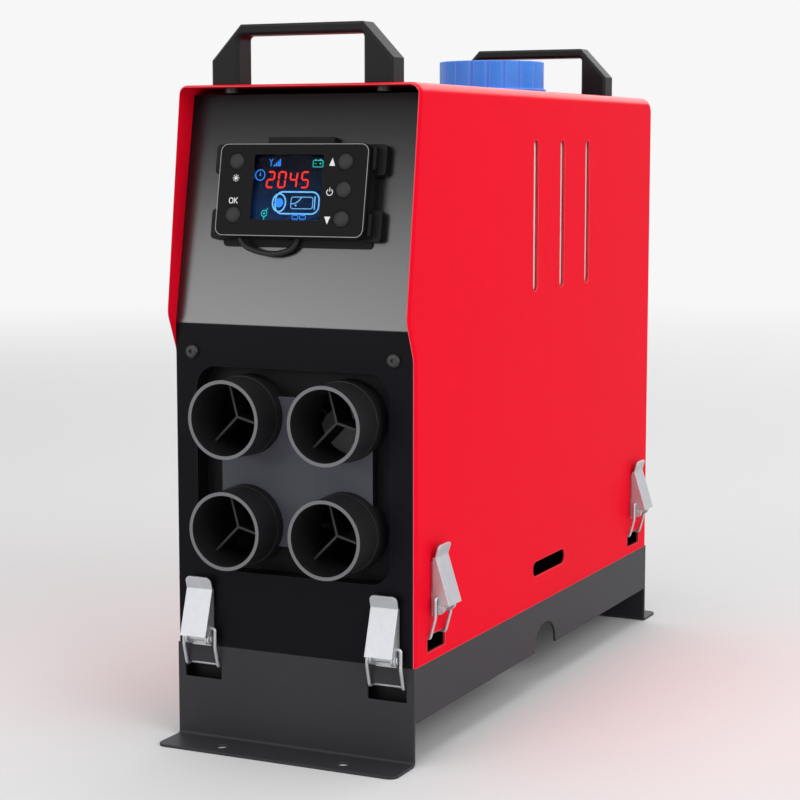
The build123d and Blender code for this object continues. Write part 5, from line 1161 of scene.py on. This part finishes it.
class HEATER_OT_stage(bpy.types.Operator):
    """Lays the pale floor and sets the soft surroundings and lamps."""

    bl_idname = "heater.stage"
    bl_label = "Stage"

    def execute(self, context):
        settings = context.scene.heater.studio
        self.lay_floor(settings)
        self.surround(context.scene, settings)
        for name, place, aim, size, power in (
            ("side_lamp", (2.6, -1.0, 1.5), (0.0, 0.0, 0.2), (2.8, 2.4), settings.key),
            ("front_lamp", (-0.2, -2.7, 2.2), (0.0, -0.2, 0.2), (1.8, 1.4), settings.fill),
            ("low_lamp", (-1.02, -2.0, 0.60), (0.0, -0.19, 0.26), (1.0, 0.42), settings.strip),
            ("top_lamp", (0.0, 0.2, 2.6), (0.0, 0.0, 0.3), (1.8, 1.8), settings.top),
            ("rear_lamp", (0.0, 2.7, 1.45), (0.0, 0.0, 0.3), (2.2, 1.0), settings.back),
        ):
            self.lamp(name, Vector(place), Vector(aim), size, power)
        context.scene.view_settings.view_transform = "Standard"
        return {"FINISHED"}

    @staticmethod
    def seen(finish):
        """1 for what the camera sees, straight or in a mirror or through glass."""
        rays = [finish.node("ShaderNodeLightPath", output=name)
                for name in ("Is Camera Ray", "Is Glossy Ray", "Is Transmission Ray")]
        return (rays[0] + rays[1] + rays[2]).limit()

    def lay_floor(self, settings):
        """A round of matt paper that fades into the surroundings far from the heater."""
        mesh = bpy.data.meshes.new("studio_floor")
        build = bmesh.new()
        bmesh.ops.create_circle(build, cap_ends=True, radius=settings.floor_radius, segments=96)
        build.to_mesh(mesh)
        build.free()
        finish = Finish("studio_paper")
        distance = finish.node("ShaderNodeVectorMath", {"operation": "LENGTH"},
                               {0: finish.place()}, output="Value")
        fibres = finish.cloud(0.004, detail=3.0)
        paper = finish.node("ShaderNodeBsdfPrincipled", sockets={
            "Base Color": finish.mottled(settings.floor, 0.985, 1.015, fibres),
            "Roughness": 0.9 + fibres * 0.05, "Specular IOR Level": 0.1})
        light = finish.node("ShaderNodeEmission", sockets={"Color": settings.surround})
        share = distance.rise(*FLOOR_FADE) * self.seen(finish)
        finish.output(finish.node("ShaderNodeMixShader", sockets={0: share, 1: paper, 2: light}))
        mesh.materials.append(finish.owner)
        floor = add_object("studio_floor", mesh)

    def surround(self, scene, settings):
        """Even light all round, and the pale background that the camera and shiny parts see."""
        scene.world = bpy.data.worlds.new("studio_world")
        finish = Finish("studio_world", scene.world)
        tone = finish.blend((settings.level,) * 3, settings.surround, self.seen(finish))
        finish.output(finish.node("ShaderNodeBackground", sockets={"Color": tone, "Strength": 1.0}))

    @staticmethod
    def lamp(name, place, aim, size, power):
        """One soft lamp that shines from place towards aim and isn't seen itself."""
        data = bpy.data.lights.new(name, "AREA")
        data.shape = "RECTANGLE"
        data.size, data.size_y = size
        data.energy = power
        lamp = add_object(name, data)
        lamp.location = place
        lamp.rotation_euler = (aim - place).to_track_quat("-Z", "Y").to_euler()
        lamp.visible_camera = False


class HEATER_PT_build(bpy.types.Panel):
    """Lists the heater's settings and pieces."""

    bl_label = "Diesel air heater"
    bl_idname = "HEATER_PT_build"
    bl_space_type = "VIEW_3D"
    bl_region_type = "UI"
    bl_category = "Heater"

    def draw(self, context):
        settings = context.scene.heater
        for group in settings.__annotations__:
            box = self.layout.box()
            box.label(text=group.title())
            chosen = getattr(settings, group)
            for name in chosen.__annotations__:
                box.prop(chosen, name)
        for piece in PIECES:
            self.layout.operator(piece.bl_idname)


PIECES = (
    HEATER_OT_camera, HEATER_OT_control_lead, HEATER_OT_sheet_parts, HEATER_OT_outlets,
    HEATER_OT_handles, HEATER_OT_latches, HEATER_OT_fasteners, HEATER_OT_fuel_parts,
    HEATER_OT_burner_parts, HEATER_OT_controller, HEATER_OT_key_marks, HEATER_OT_screen,
    HEATER_OT_stage,
)
CLASSES = (
    SheetSettings, MouldingSettings, MetalSettings, ControllerSettings, StudioSettings,
    CameraSettings, HeaterSettings, *PIECES, HEATER_PT_build,
)


def register():
    for kind in CLASSES:
        bpy.utils.register_class(kind)
    bpy.types.Scene.heater = bpy.props.PointerProperty(type=HeaterSettings)


def unregister():
    del bpy.types.Scene.heater
    for kind in reversed(CLASSES):
        bpy.utils.unregister_class(kind)


def main():
    """Makes every piece in order."""
    register()
    for piece in PIECES:
        group, name = piece.bl_idname.split(".")
        getattr(getattr(bpy.ops, group), name)()
    bpy.context.view_layer.update()


if __name__ == "__main__":
    main()
